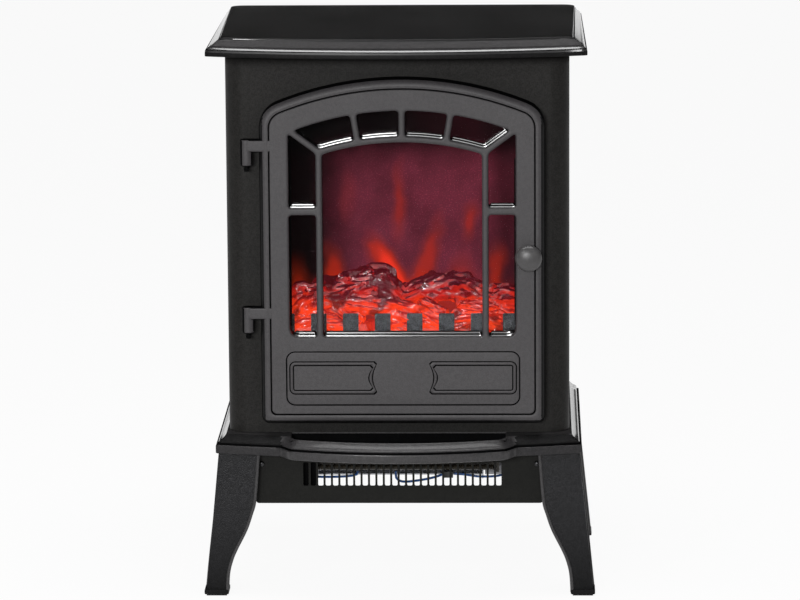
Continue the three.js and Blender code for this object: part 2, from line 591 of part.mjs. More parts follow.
// Where a line z = level + slope * u meets a circle round the arc centre, on the right.
function lineOnArc(level, slope, radius) {
  const low = level - arcZ;
  const square = 1 + slope * slope;
  const u = (Math.sqrt(square * radius * radius - low * low) - slope * low) / square;
  return [u, level + slope * u, LIGHT_R];
}

// Where one side of a fan bar meets a circle; edge is -1 or 1.
function fanOnArc(angle, edge, radius) {
  const along = Math.sqrt(radius * radius - BAR * BAR / 4);
  const [s, c] = [Math.sin(angle), Math.cos(angle)];
  return [s * along + edge * c * BAR / 2, arcZ + c * along - edge * s * BAR / 2, LIGHT_R];
}

// The nine lights between the glazing bars.
function windowLights() {
  const [ringIn, ringOut] = [ringR - BAR / 2, ringR + BAR / 2];
  const [barIn, barOut] = [barX - BAR / 2, barX + BAR / 2];
  const slantZ = arcZ + Math.sqrt(ringR ** 2 - barX ** 2) - barX * LIGHT_TILT;
  const lift = BAR / 2 * Math.hypot(1, LIGHT_TILT);
  const mainTop = arcZ + Math.sqrt(ringIn ** 2 - barIn ** 2);
  const main = softOutline([[-barIn, windowZ0, LIGHT_R], [barIn, windowZ0, LIGHT_R], [barIn, mainTop, LIGHT_R],
    ...arcBetween([barIn, mainTop], [-barIn, mainTop], 12), [-barIn, mainTop, LIGHT_R]]);
  const [crossLow, crossHigh] = [crossZ - CROSS_H / 2, crossZ + CROSS_H / 2];
  const lower = [[barOut, windowZ0, LIGHT_R], [windowHalf, windowZ0, WINDOW_CORNER],
    [windowHalf, crossLow, LIGHT_R], [barOut, crossLow, LIGHT_R]];
  const slantLow = (u) => slantZ - lift + u * LIGHT_TILT;
  const upper = [[barOut, crossHigh, LIGHT_R], [windowHalf, crossHigh, LIGHT_R],
    [windowHalf, slantLow(windowHalf), LIGHT_R], [barOut, slantLow(barOut), LIGHT_R]];
  const outer = [fanOnArc(FAN_ANGLE, 1, ringOut), lineOnArc(slantZ + lift, LIGHT_TILT, ringOut),
    lineOnArc(slantZ + lift, LIGHT_TILT, windowR), fanOnArc(FAN_ANGLE, 1, windowR)];
  const inner = [fanOnArc(0, 1, ringOut), fanOnArc(FAN_ANGLE, -1, ringOut), fanOnArc(FAN_ANGLE, -1, windowR),
    fanOnArc(0, 1, windowR)];
  const arched = ([a, b, c, d]) => [a, ...arcBetween(a, b, 3), b, c, ...arcBetween(c, d, 4), d];
  const sides = [lower, upper, arched(outer), arched(inner)];
  return [main, ...[-1, 1].flatMap((side) => sides.map((points) => softOutline(points, side)))];
}

// One raised line plaque of the lower panel; side is -1 for the left one.
function plaqueShape(side, inset) {
  const { waist } = PLAQUE;
  const r = PLAQUE.r - inset / 2;
  const inner = PLAQUE.in + inset;
  const outer = fieldHalf - PLAQUE.side - inset;
  const [low, high] = [fieldZ[0] + PLAQUE.low + inset, fieldZ[1] - PLAQUE.high - inset];
  const middle = (low + high) / 2;
  const points = [[inner + r, low], [outer - r, low], [outer, low + r], [outer, high - r], [outer - r, high],
    [inner + r, high], [inner, high - r]];
  const hollow = [0.5, 0, -0.5].map((t) =>
    [inner + waist * Math.cos(Math.PI * t), middle + t * (high - low - 2 * r)]);
  return outline([...points, ...hollow, [inner, low + r]].map(([u, z]) => [DOOR_X + side * u, z]));
}

function doorFrame() {
  const y0 = doorFaceY;
  const y1 = frontY - DOOR_BACK;
  const bead = new THREE.ExtrudeGeometry(doorShape(0), {
    depth: y1 - y0 - BEAD_DROP, curveSegments: 6, bevelThickness: BEAD_DROP, bevelSize: BEAD_DROP,
    bevelOffset: -BEAD_DROP, bevelSegments: 2,
  });
  bead.rotateX(Math.PI / 2).translate(0, y1, 0);
  const slab = cut(solid(bead), box(-BODY_W, BODY_W, y1, y1 + 2 * BEAD_DROP, 0, lidZ1));
  const groove = cut(frontal(doorShape(BEAD_W - GROOVE_W), y0 - THROUGH, y0 + GROOVE_D, 6),
    frontal(doorShape(BEAD_W), y0 - 2 * THROUGH, y0 + 2 * GROOVE_D, 6));
  const hollow = cut(frontal(doorShape(DOOR_WALL), y0 + DOOR_SKIN, y1 + THROUGH, 6),
    frontal(windowShape(DOOR_WALL + GLASS_LAP), y0, y1 + 2 * THROUGH, 6));
  const lights = windowLights().map((shape) => frontal(shape, y0 - THROUGH, y0 + barDepth + THROUGH, 4));
  const rebate = frontal(windowShape(GLASS_LAP + GAP), y0 + barDepth, y1 + THROUGH, 6);
  const field = frontal(roundedRect(DOOR_X - fieldHalf, DOOR_X + fieldHalf, ...fieldZ, FIELD.r),
    y0 - THROUGH, y0 + FIELD.deep);
  const plaques = [-1, 1].map((side) => cut(
    frontal(plaqueShape(side, 0), y0 + FIELD.deep - PLAQUE.up, y0 + DOOR_SKIN - 1),
    frontal(plaqueShape(side, PLAQUE.line), y0 - THROUGH, y0 + FIELD.deep)));
  const shell = cut(slab, groove, hollow, rebate, field);
  const boss = bar('y', [knobX, y0 + 1, knobZ], KNOB.boss, DOOR_SKIN + 1, 16);
  const screwHole = bar('y', [knobX, y0 - THROUGH, knobZ], PIN_R + GAP, DOOR_SKIN + 2 + 2 * THROUGH, 12);
  return cut(join(shell, ...plaques, boss, ...catchBoss(), ...hingeArms()), ...lights, screwHole,
    ...hingeBores());
}

const glassY = doorFaceY + barDepth + GAP;
const glassBackY = glassY + GLASS_T;
const doorGlass = () => frontal(windowShape(GLASS_LAP), glassY, glassBackY, 6);

// A strip that laps the glass edge and the wall round it.
function glassRetainer(side) {
  const inner = windowHalf - CLIP.lap;
  const outer = windowHalf + GLASS_LAP + DOOR_WALL + CLIP.t;
  const x = side > 0 ? [DOOR_X + inner, DOOR_X + outer] : [DOOR_X - outer, DOOR_X - inner];
  const z1 = arcZ + Math.sqrt(windowR ** 2 - windowHalf ** 2) - CLIP.short;
  return box(...x, glassBackY + GAP, glassBackY + GAP + CLIP.t, windowZ0 + CLIP.low, z1);
}

// ---- door hinge, catch and knob ----
function hingeArms() {
  return hingeZ.flatMap((z) => {
    const top = z + KNUCKLE_H;
    const profile = [[0, 0], [KNUCKLE_R - 2, 0], [KNUCKLE_R - 0.6, 0.8], [KNUCKLE_R, 2.4],
      [KNUCKLE_R, KNUCKLE_H], [0, KNUCKLE_H]];
    const round = new THREE.LatheGeometry(profile.map(([r, h]) => new THREE.Vector2(r, h)), 20);
    round.rotateX(Math.PI / 2).translate(hingeX, hingeY, z);
    return [solid(round), box(hingeX, DOOR_X - doorHalf + BEAD_W + 1, doorFaceY, doorFaceY + 2 * KNUCKLE_R,
      top - ARM_H, top)];
  });
}

const hingeBores = () => hingeZ.map((z) =>
  bar('z', [hingeX, hingeY, z - THROUGH], PIN_R + RUN, KNUCKLE_H - PIN_TOP + THROUGH, 20));

// How far the inner face of the front panel curves back at x.
function cornerDrop(x) {
  const r = CORNER_R - SHEET;
  const past = Math.max(0, Math.abs(x) - BODY_W / 2 + CORNER_R);
  return r - Math.sqrt(r * r - past * past);
}

const nutSeat = SHEET + GAP + cornerDrop(Math.abs(hingeX) + PIN_NUT.r);

// Bent pin: out of the front panel under the knuckle and up into it.
function hingePin(z) {
  const low = z - pinLift;
  const reach = frontY - hingeY + PIN_R + nutSeat + PIN_NUT.t + THROUGH;
  const rise = KNUCKLE_H + pinLift + PIN_R - PIN_TOP - THROUGH;
  const arm = bar('y', [hingeX, hingeY - PIN_R, low], PIN_R, reach, 12);
  const post = bar('z', [hingeX, hingeY, low - PIN_R], PIN_R, rise, 16);
  const nut = bar('y', [hingeX, frontY + nutSeat, low], PIN_NUT.r, PIN_NUT.t, 6);
  return join(arm, post, nut);
}

const catchSpan = [catchX - CATCH.w / 2, catchX + CATCH.w / 2];
const strikeSpan = [catchSpan[0] - CATCH.lap, catchSpan[1] + CATCH.lap];
const catchHeights = [catchZ - CATCH.h / 2, catchZ + CATCH.h / 2];
const strikeBackY = frontY - CATCH.nose - GAP;

const magnetHole = () => roundedRect(catchSpan[0] - GAP, catchSpan[1] + GAP, catchHeights[0] - GAP,
  catchHeights[1] + GAP, GAP);

function catchMagnet() {
  const nose = box(...catchSpan, frontY - CATCH.nose, frontY + CATCH.deep, ...catchHeights);
  const ears = box(...catchSpan, frontY + SHEET + GAP, frontY + CATCH.deep / 2, catchHeights[0] - CATCH.ear,
    catchHeights[1] + CATCH.ear);
  return join(nose, ears);
}

const catchBoss = () => [box(...strikeSpan, doorFaceY + DOOR_SKIN - THROUGH, strikeBackY - CATCH.strike - GAP,
  catchZ - CATCH.h / 3, catchZ + CATCH.h / 3)];
const strikePlate = () => box(...strikeSpan, strikeBackY - CATCH.strike, strikeBackY, ...catchHeights);

function doorKnob() {
  const profile = [[0, 0], [KNOB.stem, 0], [KNOB.stem - 0.5, KNOB.neck], [KNOB.r - 3, KNOB.neck + 1],
    [KNOB.r, KNOB.neck + 3], [KNOB.r, KNOB.neck + 4.6], [KNOB.r - 1.2, KNOB.neck + 5.8],
    [KNOB.r - 3.5, KNOB.depth - 2.4], [KNOB.r - 7.5, KNOB.depth - 0.7], [0, KNOB.depth]];
  const round = new THREE.LatheGeometry(profile.map(([r, h]) => new THREE.Vector2(r, h)), 22);
  round.rotateX(Math.PI).translate(knobX, doorFaceY - GAP, knobZ);
  const bore = bar('y', [knobX, doorFaceY - KNOB.depth * 0.6, knobZ], PIN_R, KNOB.depth, 12);
  return cut(solid(round), bore);
}

function knobScrew() {
  const y = doorFaceY + DOOR_SKIN + 2 + GAP;
  const tip = doorFaceY - KNOB.depth / 2;
  return join(bar('y', [knobX, y, knobZ], KNOB.screw, PIN_R, 12, KNOB.screw * 0.8),
    bar('y', [knobX, tip, knobZ], PIN_R - GAP, y + 1 - tip, 12));
}

// ---- firebox ----
function fireboxLiner() {
  const y0 = frontY + SHEET + GAP;
  const y1 = frontY + LINER.depth;
  return cut(box(...linerX, y0, y1, ...linerZ),
    box(linerX[0] + LINER.wall, linerX[1] - LINER.wall, y0 - THROUGH, y1 + THROUGH, linerZ[0] + LINER.wall,
      linerZ[1] - LINER.wall));
}

const flameScreen = () => box(...innerX, frontY + screenD, frontY + screenD + SCREEN.t, hearthZ,
  linerZ[1] - LINER.wall - GAP);

function fret() {
  const half = (innerX[1] - innerX[0]) / 2 - FRET.ends;
  const fretX = (innerX[0] + innerX[1]) / 2 - FRET.shift;
  const pitch = (2 * half - FRET.tab) / (FRET.tabs - 1);
  const points = [[half, 0], [half, FRET.h]];
  for (let tab = FRET.tabs - 1; tab >= 0; tab -= 1) {
    const x = -half + tab * pitch;
    points.push([x, FRET.h]);
    const next = x - pitch + FRET.tab;
    if (tab > 0) points.push([x, FRET.rail], [next, FRET.rail], [next, FRET.h]);
  }
  points.push([-half, 0]);
  const strip = outline(points.map(([x, z]) => [fretX + x, z + hearthZ]));
  const y = frontY + FRET.d;
  const foot = box(fretX - half, fretX + half, y, y + FRET.foot, hearthZ, hearthZ + FRET.t);
  return join(frontal(strip, y, y + FRET.t), foot);
}

function log({ a, b, r }) {
  const start = new THREE.Vector3(a[0], frontY + bedD[0] + a[1], hearthZ + a[2]);
  const end = new THREE.Vector3(b[0], frontY + bedD[0] + b[1], hearthZ + b[2]);
  const along = end.clone().sub(start);
  const geometry = new THREE.CylinderGeometry(r[1], r[0], along.length(), 10, 1);
  geometry.applyQuaternion(new THREE.Quaternion().setFromUnitVectors(new THREE.Vector3(0, 1, 0),
    along.normalize()));
  return solid(geometry.translate(...start.add(end).multiplyScalar(0.5)));
}

function logSet() {
  const bed = box(-bedHalf, bedHalf, frontY + bedD[0], frontY + bedD[1], hearthZ, hearthZ + BED.h);
  const space = box(...innerX, frontY + bedD[0], frontY + screenD - GAP, hearthZ, linerZ[1]);
  const heap = join(bed, ...LOGS.map(log)).intersect(space);
  const well = box(-bedHalf + BED.wall, bedHalf - BED.wall, frontY + bedD[0] + BED.wall,
    frontY + bedD[1] - BED.wall, hearthZ - THROUGH, hearthZ + BED.h - BED.skin);
  return cut(heap, well);
}

function ledBoard(x0, x1, y, z, bumps) {
  const board = box(x0, x1, y - LED.d / 2, y + LED.d / 2, z, z + LED.t);
  const lamps = [];
  for (let i = 0; i < bumps; i += 1) {
    const x = x0 + (x1 - x0) * (i + 0.5) / bumps;
    lamps.push(bar('z', [x, y, z + LED.t - 0.2], LED.bump / 2, 3.2, 6, LED.bump / 3));
  }
  return join(board, ...lamps);
}

function flameBox() {
  const y0 = frontY + flameBoxD;
  const y1 = y0 + FLAME_BOX.deep;
  const z1 = linerZ[0] + FLAME_BOX.h;
  const shell = cut(box(...linerX, y0, y1, linerZ[0], z1),
    box(linerX[0] + LINER.wall, linerX[1] - LINER.wall, y0 - THROUGH, y1 - LINER.wall, linerZ[0] + LINER.wall,
      z1 - LINER.wall));
  const hole = (x, r) => bar('x', [x, rotorY, rotorZ], r, LINER.wall + 2 * THROUGH, 20);
  return cut(shell, hole(linerX[0] - THROUGH, BUSH.r + GAP),
    hole(linerX[1] - LINER.wall - THROUGH, ROTOR.spindle + 2 * RUN));
}

function flameRotor() {
  const x0 = linerX[0] - 1;
  const x1 = linerX[1] - LINER.wall - 5;
  const flags = [];
  for (let i = 0; i < ROTOR.flags; i += 1) {
    const x = x0 + ROTOR.ends + (x1 - x0 - 2 * ROTOR.ends) * i / (ROTOR.flags - 1);
    const flag = new THREE.BoxGeometry(ROTOR.flagW, ROTOR.flagT, 2 * ROTOR.r);
    flag.rotateY(0.35).rotateX(i * 0.9).translate(x, rotorY, rotorZ);
    flags.push(solid(flag));
  }
  const hub = bar('x', [x1 - 8, rotorY, rotorZ], 2 * ROTOR.shaft, 8, 16);
  const shaft = bar('x', [x0, rotorY, rotorZ], ROTOR.shaft, x1 - x0, 16);
  const socket = bar('x', [x1 - 6, rotorY, rotorZ], ROTOR.spindle + RUN, 7, 12);
  return cut(join(shaft, hub, ...flags), socket);
}

function rotorBush() {
  const x = linerX[0] - GAP - BUSH.lipT;
  const length = BUSH.lipT + GAP + LINER.wall + THROUGH;
  const body = join(bar('x', [x, rotorY, rotorZ], BUSH.lip, BUSH.lipT, 20),
    bar('x', [x, rotorY, rotorZ], BUSH.r, length, 20));
  return cut(body, bar('x', [x - THROUGH, rotorY, rotorZ], ROTOR.shaft + RUN, length + 2 * THROUGH, 16));
}

function rotorMotor() {
  const x = linerX[1] + GAP;
  const can = bar('x', [x, rotorY, rotorZ], ROTOR_MOTOR.r, ROTOR_MOTOR.len, 28);
  const cap = bar('x', [x + ROTOR_MOTOR.len - THROUGH, rotorY, rotorZ], ROTOR_MOTOR.r * 0.7, 3, 20);
  const spindle = bar('x', [x - LINER.wall - 9, rotorY, rotorZ], ROTOR.spindle, LINER.wall + 10, 12);
  const reach = ROTOR_MOTOR.r + ROTOR_MOTOR.ear;
  const ears = box(x, x + SHEET, rotorY - reach, rotorY + reach, rotorZ - ROTOR_MOTOR.ear,
    rotorZ + ROTOR_MOTOR.ear);
  return join(can, cap, spindle, ears);
}

// ---- controls ----
const rockerX = [0, 1, 2].map((i) => DOOR_X + ROCKER.first + i * ROCKER.pitch);

function rockerCell(x, y0, y1) {
  const halfW = ROCKER.w / 2 + ROCKER.side;
  const halfH = ROCKER.h / 2 + ROCKER.end;
  return box(x - halfW, x + halfW, y0, y1, controlZ - halfH, controlZ + halfH);
}

// Tray whose flange laps the back of the front panel and whose floor carries the controls.
function controlPanel() {
  const { lap, lapZ, t } = PANEL;
  const tray = (x, z, y0, y1) => box(DOOR_X - holeHalf - x, DOOR_X + holeHalf + x, y0, y1, panelHole.z0 - z,
    panelHole.z1 + z);
  const shell = cut(join(tray(lap, lapZ, flangeY, flangeY + t), tray(t, t, flangeY, panelY + t)),
    tray(0, 0, flangeY - THROUGH, panelY));
  const cells = rockerX.map((x) => rockerCell(x, panelY - THROUGH, panelY + t + THROUGH));
  const spindle = bar('y', [DOOR_X + DIAL.u, panelY - THROUGH, controlZ], DIAL.spindle + 2 * RUN,
    t + 2 * THROUGH, 16);
  return cut(shell, ...cells, spindle);
}

function switchBank() {
  const block = box(rockerX[0] - ROCKER.pitch / 2, rockerX.at(-1) + ROCKER.pitch / 2, behindPanel,
    behindPanel + ROCKER.deep, controlZ - SWITCH_H / 2, controlZ + SWITCH_H / 2);
  const pinEnd = ROCKER.w / 2 + PIN_END + THROUGH;
  const pinHole = (x) => bar('x', [x - pinEnd, pivotY, controlZ], ROCKER_PIN_R + RUN, 2 * pinEnd, 12);
  const cell = (x) => rockerCell(x, behindPanel - THROUGH, behindPanel + ROCKER.deep - SWITCH_BACK);
  return cut(block, ...rockerX.map(cell), ...rockerX.map(pinHole));
}

// Rocker with a shallow V face, drawn level; it rests tipped to its off side.
function rocker() {
  const face = ROCKER.pivot + 2.6;
  const half = ROCKER.h / 2;
  const profile = outline([[-face, -half], [-face + 1.4, 0], [-face, half], [0, half - 1.5], [6, 3], [6, -3],
    [0, -half + 1.5]]);
  const body = sideways(profile, -ROCKER.w / 2, ROCKER.w / 2);
  return join(body, bar('x', [-ROCKER.w / 2 - PIN_END, 0, 0], ROCKER_PIN_R, ROCKER.w + 2 * PIN_END, 12));
}

function thermostatBody() {
  const x = DOOR_X + DIAL.u;
  const block = box(x - DIAL.body / 2, x + DIAL.body / 2, behindPanel, behindPanel + DIAL.bodyD,
    controlZ - DIAL.body / 2, controlZ + DIAL.body / 2);
  const length = DIAL.reach + PANEL.t + GAP + THROUGH;
  return join(block, bar('y', [x, panelY - DIAL.reach, controlZ], DIAL.spindle, length, 16));
}

function thermostatKnob() {
  const profile = [[0, 0], [DIAL.r, 0], [DIAL.r, 2], [DIAL.r - 1.6, 3], [DIAL.r - 2.4, DIAL.depth - 1],
    [DIAL.r - 3.4, DIAL.depth], [0, DIAL.depth]];
  const round = new THREE.LatheGeometry(profile.map(([r, h]) => new THREE.Vector2(r, h)), 22);
  round.rotateX(Math.PI).translate(DOOR_X + DIAL.u, panelY - GAP, controlZ);
  const faceY = panelY - GAP - DIAL.depth;
  const ridge = box(DOOR_X + DIAL.u - DIAL.ridge / 2, DOOR_X + DIAL.u + DIAL.ridge / 2, faceY - THROUGH,
    faceY + THROUGH, controlZ, controlZ + DIAL.r - 3.6);
  const bore = bar('y', [DOOR_X + DIAL.u, panelY - DIAL.reach - GAP, controlZ], DIAL.spindle + RUN,
    DIAL.reach + THROUGH, 16);
  return cut(join(solid(round), ridge), bore);
}

// ---- fan heater ----
function heaterBox() {
  const y1 = heaterY + HEATER.depth;
  const z0 = heaterTop - HEATER.h;
  const inner = heaterHalf - HEATER.t;
  const shell = cut(box(-heaterHalf, heaterHalf, heaterY, y1, z0, heaterTop),
    box(-inner, inner, heaterY + HEATER.t, y1 + THROUGH, z0 - THROUGH, heaterTop + THROUGH));
  const slots = [];
  for (let i = 0; i < SLOTS.count; i += 1) {
    const x = SLOTS.x + (i - (SLOTS.count - 1) / 2) * SLOTS.pitch;
    slots.push(box(x - SLOTS.w / 2, x + SLOTS.w / 2, heaterY - THROUGH, heaterY + HEATER.t + THROUGH,
      heaterTop - SLOTS.drop1, heaterTop - SLOTS.drop0));
  }
  const holes = [-1, 1].map((side) => bar('y', [side * apronScrewX, heaterY - THROUGH, apronScrewZ],
    APRON_SCREW.r + GAP, HEATER.t + 2 * THROUGH, 12));
  return cut(shell, ...slots, ...holes);
}

// Dome head in front of the apron, shank through it into the lug.
function apronScrew(side) {
  const { r, head, headT, len } = APRON_SCREW;
  const x = side * apronScrewX;
  const y = heaterY - GAP;
  const dome = new THREE.CylinderGeometry(head, head * 0.75, headT, 14);
  dome.translate(x, y - headT / 2, apronScrewZ);
  return join(solid(dome), bar('y', [x, y - headT / 2, apronScrewZ], r, len, 12));
}

function blowerWheel() {
  const parts = [];
  for (const x of [-fanHalf, 0, fanHalf - FAN.disc]) {
    parts.push(bar('x', [x, fanY, fanZ], FAN.r - 0.2, FAN.disc, 20));
  }
  for (let i = 0; i < FAN.blades; i += 1) {
    const blade = new THREE.BoxGeometry(2 * fanHalf, 0.8, FAN.blade).rotateX(0.5);
    blade.translate(0, 0, FAN.r - FAN.blade * 0.65);
    blade.rotateX(i * 2 * Math.PI / FAN.blades).translate(0, fanY, fanZ);
    parts.push(solid(blade));
  }
  parts.push(bar('x', [-fanHalf - 6, fanY, fanZ], FAN.shaft, 7, 16));
  const hub = bar('x', [fanHalf - 1, fanY, fanZ], FAN.hub, 4, 16);
  return cut(join(...parts, hub), bar('x', [fanHalf - 4, fanY, fanZ], FAN_MOTOR.shaft + RUN, 9, 12));
}

// Scroll round the wheel, open to the grille, with end plates that hang from the base.
function blowerHousing() {
  const outer = FAN.r + FAN.play + FAN.wall;
  const ring = new THREE.Shape();
  ring.absarc(fanY, fanZ, outer, -0.5 * Math.PI, 0.75 * Math.PI);
  ring.absarc(fanY, fanZ, outer - FAN.wall, 0.75 * Math.PI, -0.5 * Math.PI, true);
  const scroll = sideways(ring, -fanHalf - 1 - FAN.wall, fanHalf + 1 + FAN.wall, 10);
  const ends = [-1, 1].map((side) => {
    const x0 = side > 0 ? fanHalf + 1 : -fanHalf - 1 - FAN.wall;
    return box(x0, x0 + FAN.wall, fanY - outer, fanY + outer, fanZ - outer, heaterTop);
  });
  const feet = [-1, 1].map((side) => {
    const x0 = side > 0 ? fanHalf + 1 : -fanHalf - 1 - FAN.foot;
    return box(x0, x0 + FAN.foot, fanY - outer, fanY + outer, heaterTop - FAN.wall, heaterTop);
  });
  const bores = [bar('x', [-fanHalf - 4, fanY, fanZ], FAN.shaft + RUN, 6, 16),
    bar('x', [fanHalf, fanY, fanZ], FAN.hub + RUN, 6, 16)];
  return cut(join(scroll, ...ends, ...feet), ...bores);
}

function blowerMotor() {
  const x = fanHalf + 1 + FAN.wall + 1.6;
  const can = bar('x', [x, fanY, fanZ], FAN_MOTOR.r, FAN_MOTOR.len, 24);
  const nose = bar('x', [x + FAN_MOTOR.len - 0.5, fanY, fanZ], 6, 4, 16);
  const shaft = bar('x', [fanHalf - 2, fanY, fanZ], FAN_MOTOR.shaft, x - fanHalf + 3, 12);
  const x0 = fanHalf + 2 * THROUGH + FAN.foot;
  const bracket = box(x0, x0 + FAN_MOTOR.bracket, fanY - FAN_MOTOR.r / 2, fanY + FAN_MOTOR.r / 2, fanZ,
    heaterTop);
  return join(can, nose, shaft, bracket);
}

function heatingElement() {
  const { d0, d1, wall } = ELEMENT;
  const half = elementHalf;
  const [z0, z1] = [heaterTop - ELEMENT.drop1, heaterTop - ELEMENT.drop0];
  const frame = cut(box(-half, half, frontY + d0, frontY + d1, z0, z1),
    box(-half + wall, half - wall, frontY + d0 - THROUGH, frontY + d1 + THROUGH, z0 + wall, z1 - wall));
  const hangers = box(-half, half, frontY + d0, frontY + d0 + wall, z1 - 1, heaterTop);
  const coils = [];
  for (let row = 0; row < ELEMENT.coils; row += 1) {
    const z = z0 + (z1 - z0) * (row + 0.5) / ELEMENT.coils;
    coils.push(bar('x', [-half + wall / 2, frontY + (d0 + d1) / 2, z], ELEMENT.coil, 2 * half - wall, 8));
  }
  return join(frame, hangers, ...coils);
}

const cutoutX = [CUTOUT.x - CUTOUT.w / 2, CUTOUT.x + CUTOUT.w / 2];

function thermalCutout() {
  const y = frontY + (ELEMENT.d0 + ELEMENT.d1) / 2;
  return box(...cutoutX, y - CUTOUT.d / 2, y + CUTOUT.d / 2, underElement - CUTOUT.h, underElement);
}

// An insulated lead through hand-placed points (x, depth, drop below the element).
function lead(points) {
  const at = ([x, d, drop]) => new THREE.Vector3(x, frontY + d, underElement - drop);
  const path = new THREE.CatmullRomCurve3(points.map(at));
  const section = new THREE.Shape().absarc(0, 0, LEAD_R, 0, 2 * Math.PI);
  return solid(new THREE.ExtrudeGeometry(section, { extrudePath: path, steps: 16, curveSegments: 4 }));
}

const motorLead = FAN.d - FAN_MOTOR.r - 2 * GAP;
const leads = {
  lead_element_left: [[-90, 18, 0.2], [-89, 18, 3.7], [-84, 17, 5.1], [-62, 16, 5.3], [-46, 17, 4.3],
    [-42, 18, 3.1], [-41, 18, 0.2]],
  lead_cutout: [[-4, 18, 0.2], [-3, 18, 7.7], [2, 17, 10.3], [18, 16, 9.1], [34, 17, 6.1],
    [cutoutX[0] - 2 * GAP, 18, 3.3]],
  lead_motor: [[cutoutX[1] + 2 * GAP, 18, 2.7], [64, 17, 3.3], [78, 17, 5.3], [98, 20, 5.1], [104, 28, 3.7],
    [105, motorLead, -2.3]],
};

// ---- back fittings ----
function cordGland() {
  const { r, flange, bore, out, nut } = GLAND;
  const x = glandX;
  const y = backY - SHEET - GAP - GLAND.in;
  const body = join(bar('y', [x, y, glandZ], r, backY + out - y - THROUGH, 20),
    bar('y', [x, backY + GAP, glandZ], flange, out / 2, 20),
    bar('y', [x, backY + GAP, glandZ], r, out - GAP, 20, r * 0.85),
    bar('y', [x, backY - SHEET - GAP - nut, glandZ], flange, nut, 6));
  return cut(body, bar('y', [x, y - THROUGH, glandZ], bore, backY + out - y + 2 * THROUGH, 16));
}

function terminalBlock() {
  const y1 = backY - SHEET - GAP;
  const z = bodyZ0 + BLOCK.up;
  const halfW = BLOCK.w / 2;
  const halfH = BLOCK.h / 2;
  const body = box(glandX - halfW, glandX + halfW, y1 - BLOCK.d, y1, z - halfH, z + halfH);
  const ways = [-1, 0, 1].map((way) =>
    bar('y', [glandX + way * BLOCK.pitch, y1 - BLOCK.d - THROUGH, z], BLOCK.way, BLOCK.deep + THROUGH, 12));
  return cut(body, ...ways);
}

// ---- finishes ----
const finish = (color, roughness, metalness = 0) =>
  new THREE.MeshStandardMaterial({ color, roughness, metalness });
const paint = () => finish(0x38383a, 0.5, 0.2);
const doorPaint = () => finish(0x464648, 0.6, 0.2);
const steel = () => finish(0xa8acb0, 0.35, 0.9);
const blackPlastic = () => finish(0x18181a, 0.5);

// ---- assembly ----
const fireplace = new THREE.Group();

function place(name, body, material, parent = fireplace) {
  const mesh = new THREE.Mesh(body.isBufferGeometry ? body : geometryOf(body), material);
  mesh.name = name;
  parent.add(mesh);
  return mesh;
}

place('top_lid', topLid(), paint());
place('front_panel', frontPanel(), paint());
place('left_side_panel', sidePanel(-1), paint());
place('right_side_panel', sidePanel(1), paint());
place('back_panel', backPanel(), paint());
place('base_plinth', basePlinth(), paint());

for (const [sx, sy] of legPlaces()) {
  const corner = new THREE.Group();
  corner.position.set(sx * legHalf, legCornerY(sy), LEG_H - GAP);
  corner.scale.set(-sx, -sy, 1);
  fireplace.add(corner);
  const name = LEG_NAMES[`${sx},${sy}`];
  place(`leg_${name}`, leg(), paint(), corner);
  place(`foot_pad_${name}`, footPad(), finish(0x141414, 0.9), corner);
  place(`leg_bolt_${name}`, legBolt(), steel(), corner);
}

place('door_frame', doorFrame(), doorPaint());
place('door_glass', doorGlass(), finish(0x202022, 0.05));
place('glass_retainer_left', glassRetainer(-1), steel());
place('glass_retainer_right', glassRetainer(1), steel());
place('door_knob', doorKnob(), doorPaint());
place('knob_screw', knobScrew(), steel());
place('strike_plate', strikePlate(), steel());
place('catch_magnet', catchMagnet(), blackPlastic());
place('hinge_pin_lower', hingePin(hingeZ[0]), paint());
place('hinge_pin_upper', hingePin(hingeZ[1]), paint());

place('firebox_liner', fireboxLiner(), finish(0x141416, 0.8, 0.1));
place('flame_screen', flameScreen(), finish(0x5a2030, 0.4));
place('fret', fret(), finish(0x585e60, 0.6, 0.3));
place('log_set', logSet(), finish(0xc02818, 0.2));
const bedY = frontY + (bedD[0] + bedD[1]) / 2;
place('ember_led_board', ledBoard(LED.side - bedHalf, bedHalf - LED.side, bedY, hearthZ, LED.count),
  finish(0x1a6030, 0.5));
place('flame_box', flameBox(), steel());
place('flame_rotor', flameRotor(), finish(0xd0d2d4, 0.2, 0.9));
place('rotor_bush', rotorBush(), blackPlastic());
place('rotor_motor', rotorMotor(), steel());
place('flame_led_board', ledBoard(innerX[0] + LED.ends, innerX[1] - LED.ends,
  frontY + flameBoxD + LED.back, hearthZ, LED.rear), finish(0x1a6030, 0.5));

place('control_panel', controlPanel(), paint());
place('switch_bank', switchBank(), blackPlastic());
['rocker_flame', 'rocker_low_heat', 'rocker_high_heat'].forEach((name, i) => {
  const mesh = place(name, rocker(), blackPlastic());
  mesh.position.set(rockerX[i], pivotY, controlZ);
  mesh.rotation.x = -THREE.MathUtils.degToRad(ROCKER.tilt);
});
place('thermostat_body', thermostatBody(), blackPlastic());
place('thermostat_knob', thermostatKnob(), blackPlastic());

place('heater_box', heaterBox(), paint());
place('apron_screw_left', apronScrew(-1), steel());
place('apron_screw_right', apronScrew(1), steel());
place('blower_housing', blowerHousing(), steel());
place('blower_wheel', blowerWheel(), finish(0x9a9ea2, 0.4, 0.8));
place('blower_motor', blowerMotor(), finish(0x505458, 0.4, 0.6));
place('heating_element', heatingElement(), finish(0xb8ac94, 0.7));
place('thermal_cutout', thermalCutout(), blackPlastic());
for (const [name, points] of Object.entries(leads)) place(name, lead(points), finish(0x2c5ca8, 0.5));

place('cord_gland', cordGland(), blackPlastic());
place('terminal_block', terminalBlock(), finish(0xe8e4d8, 0.5));

export default fireplace;
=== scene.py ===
import math

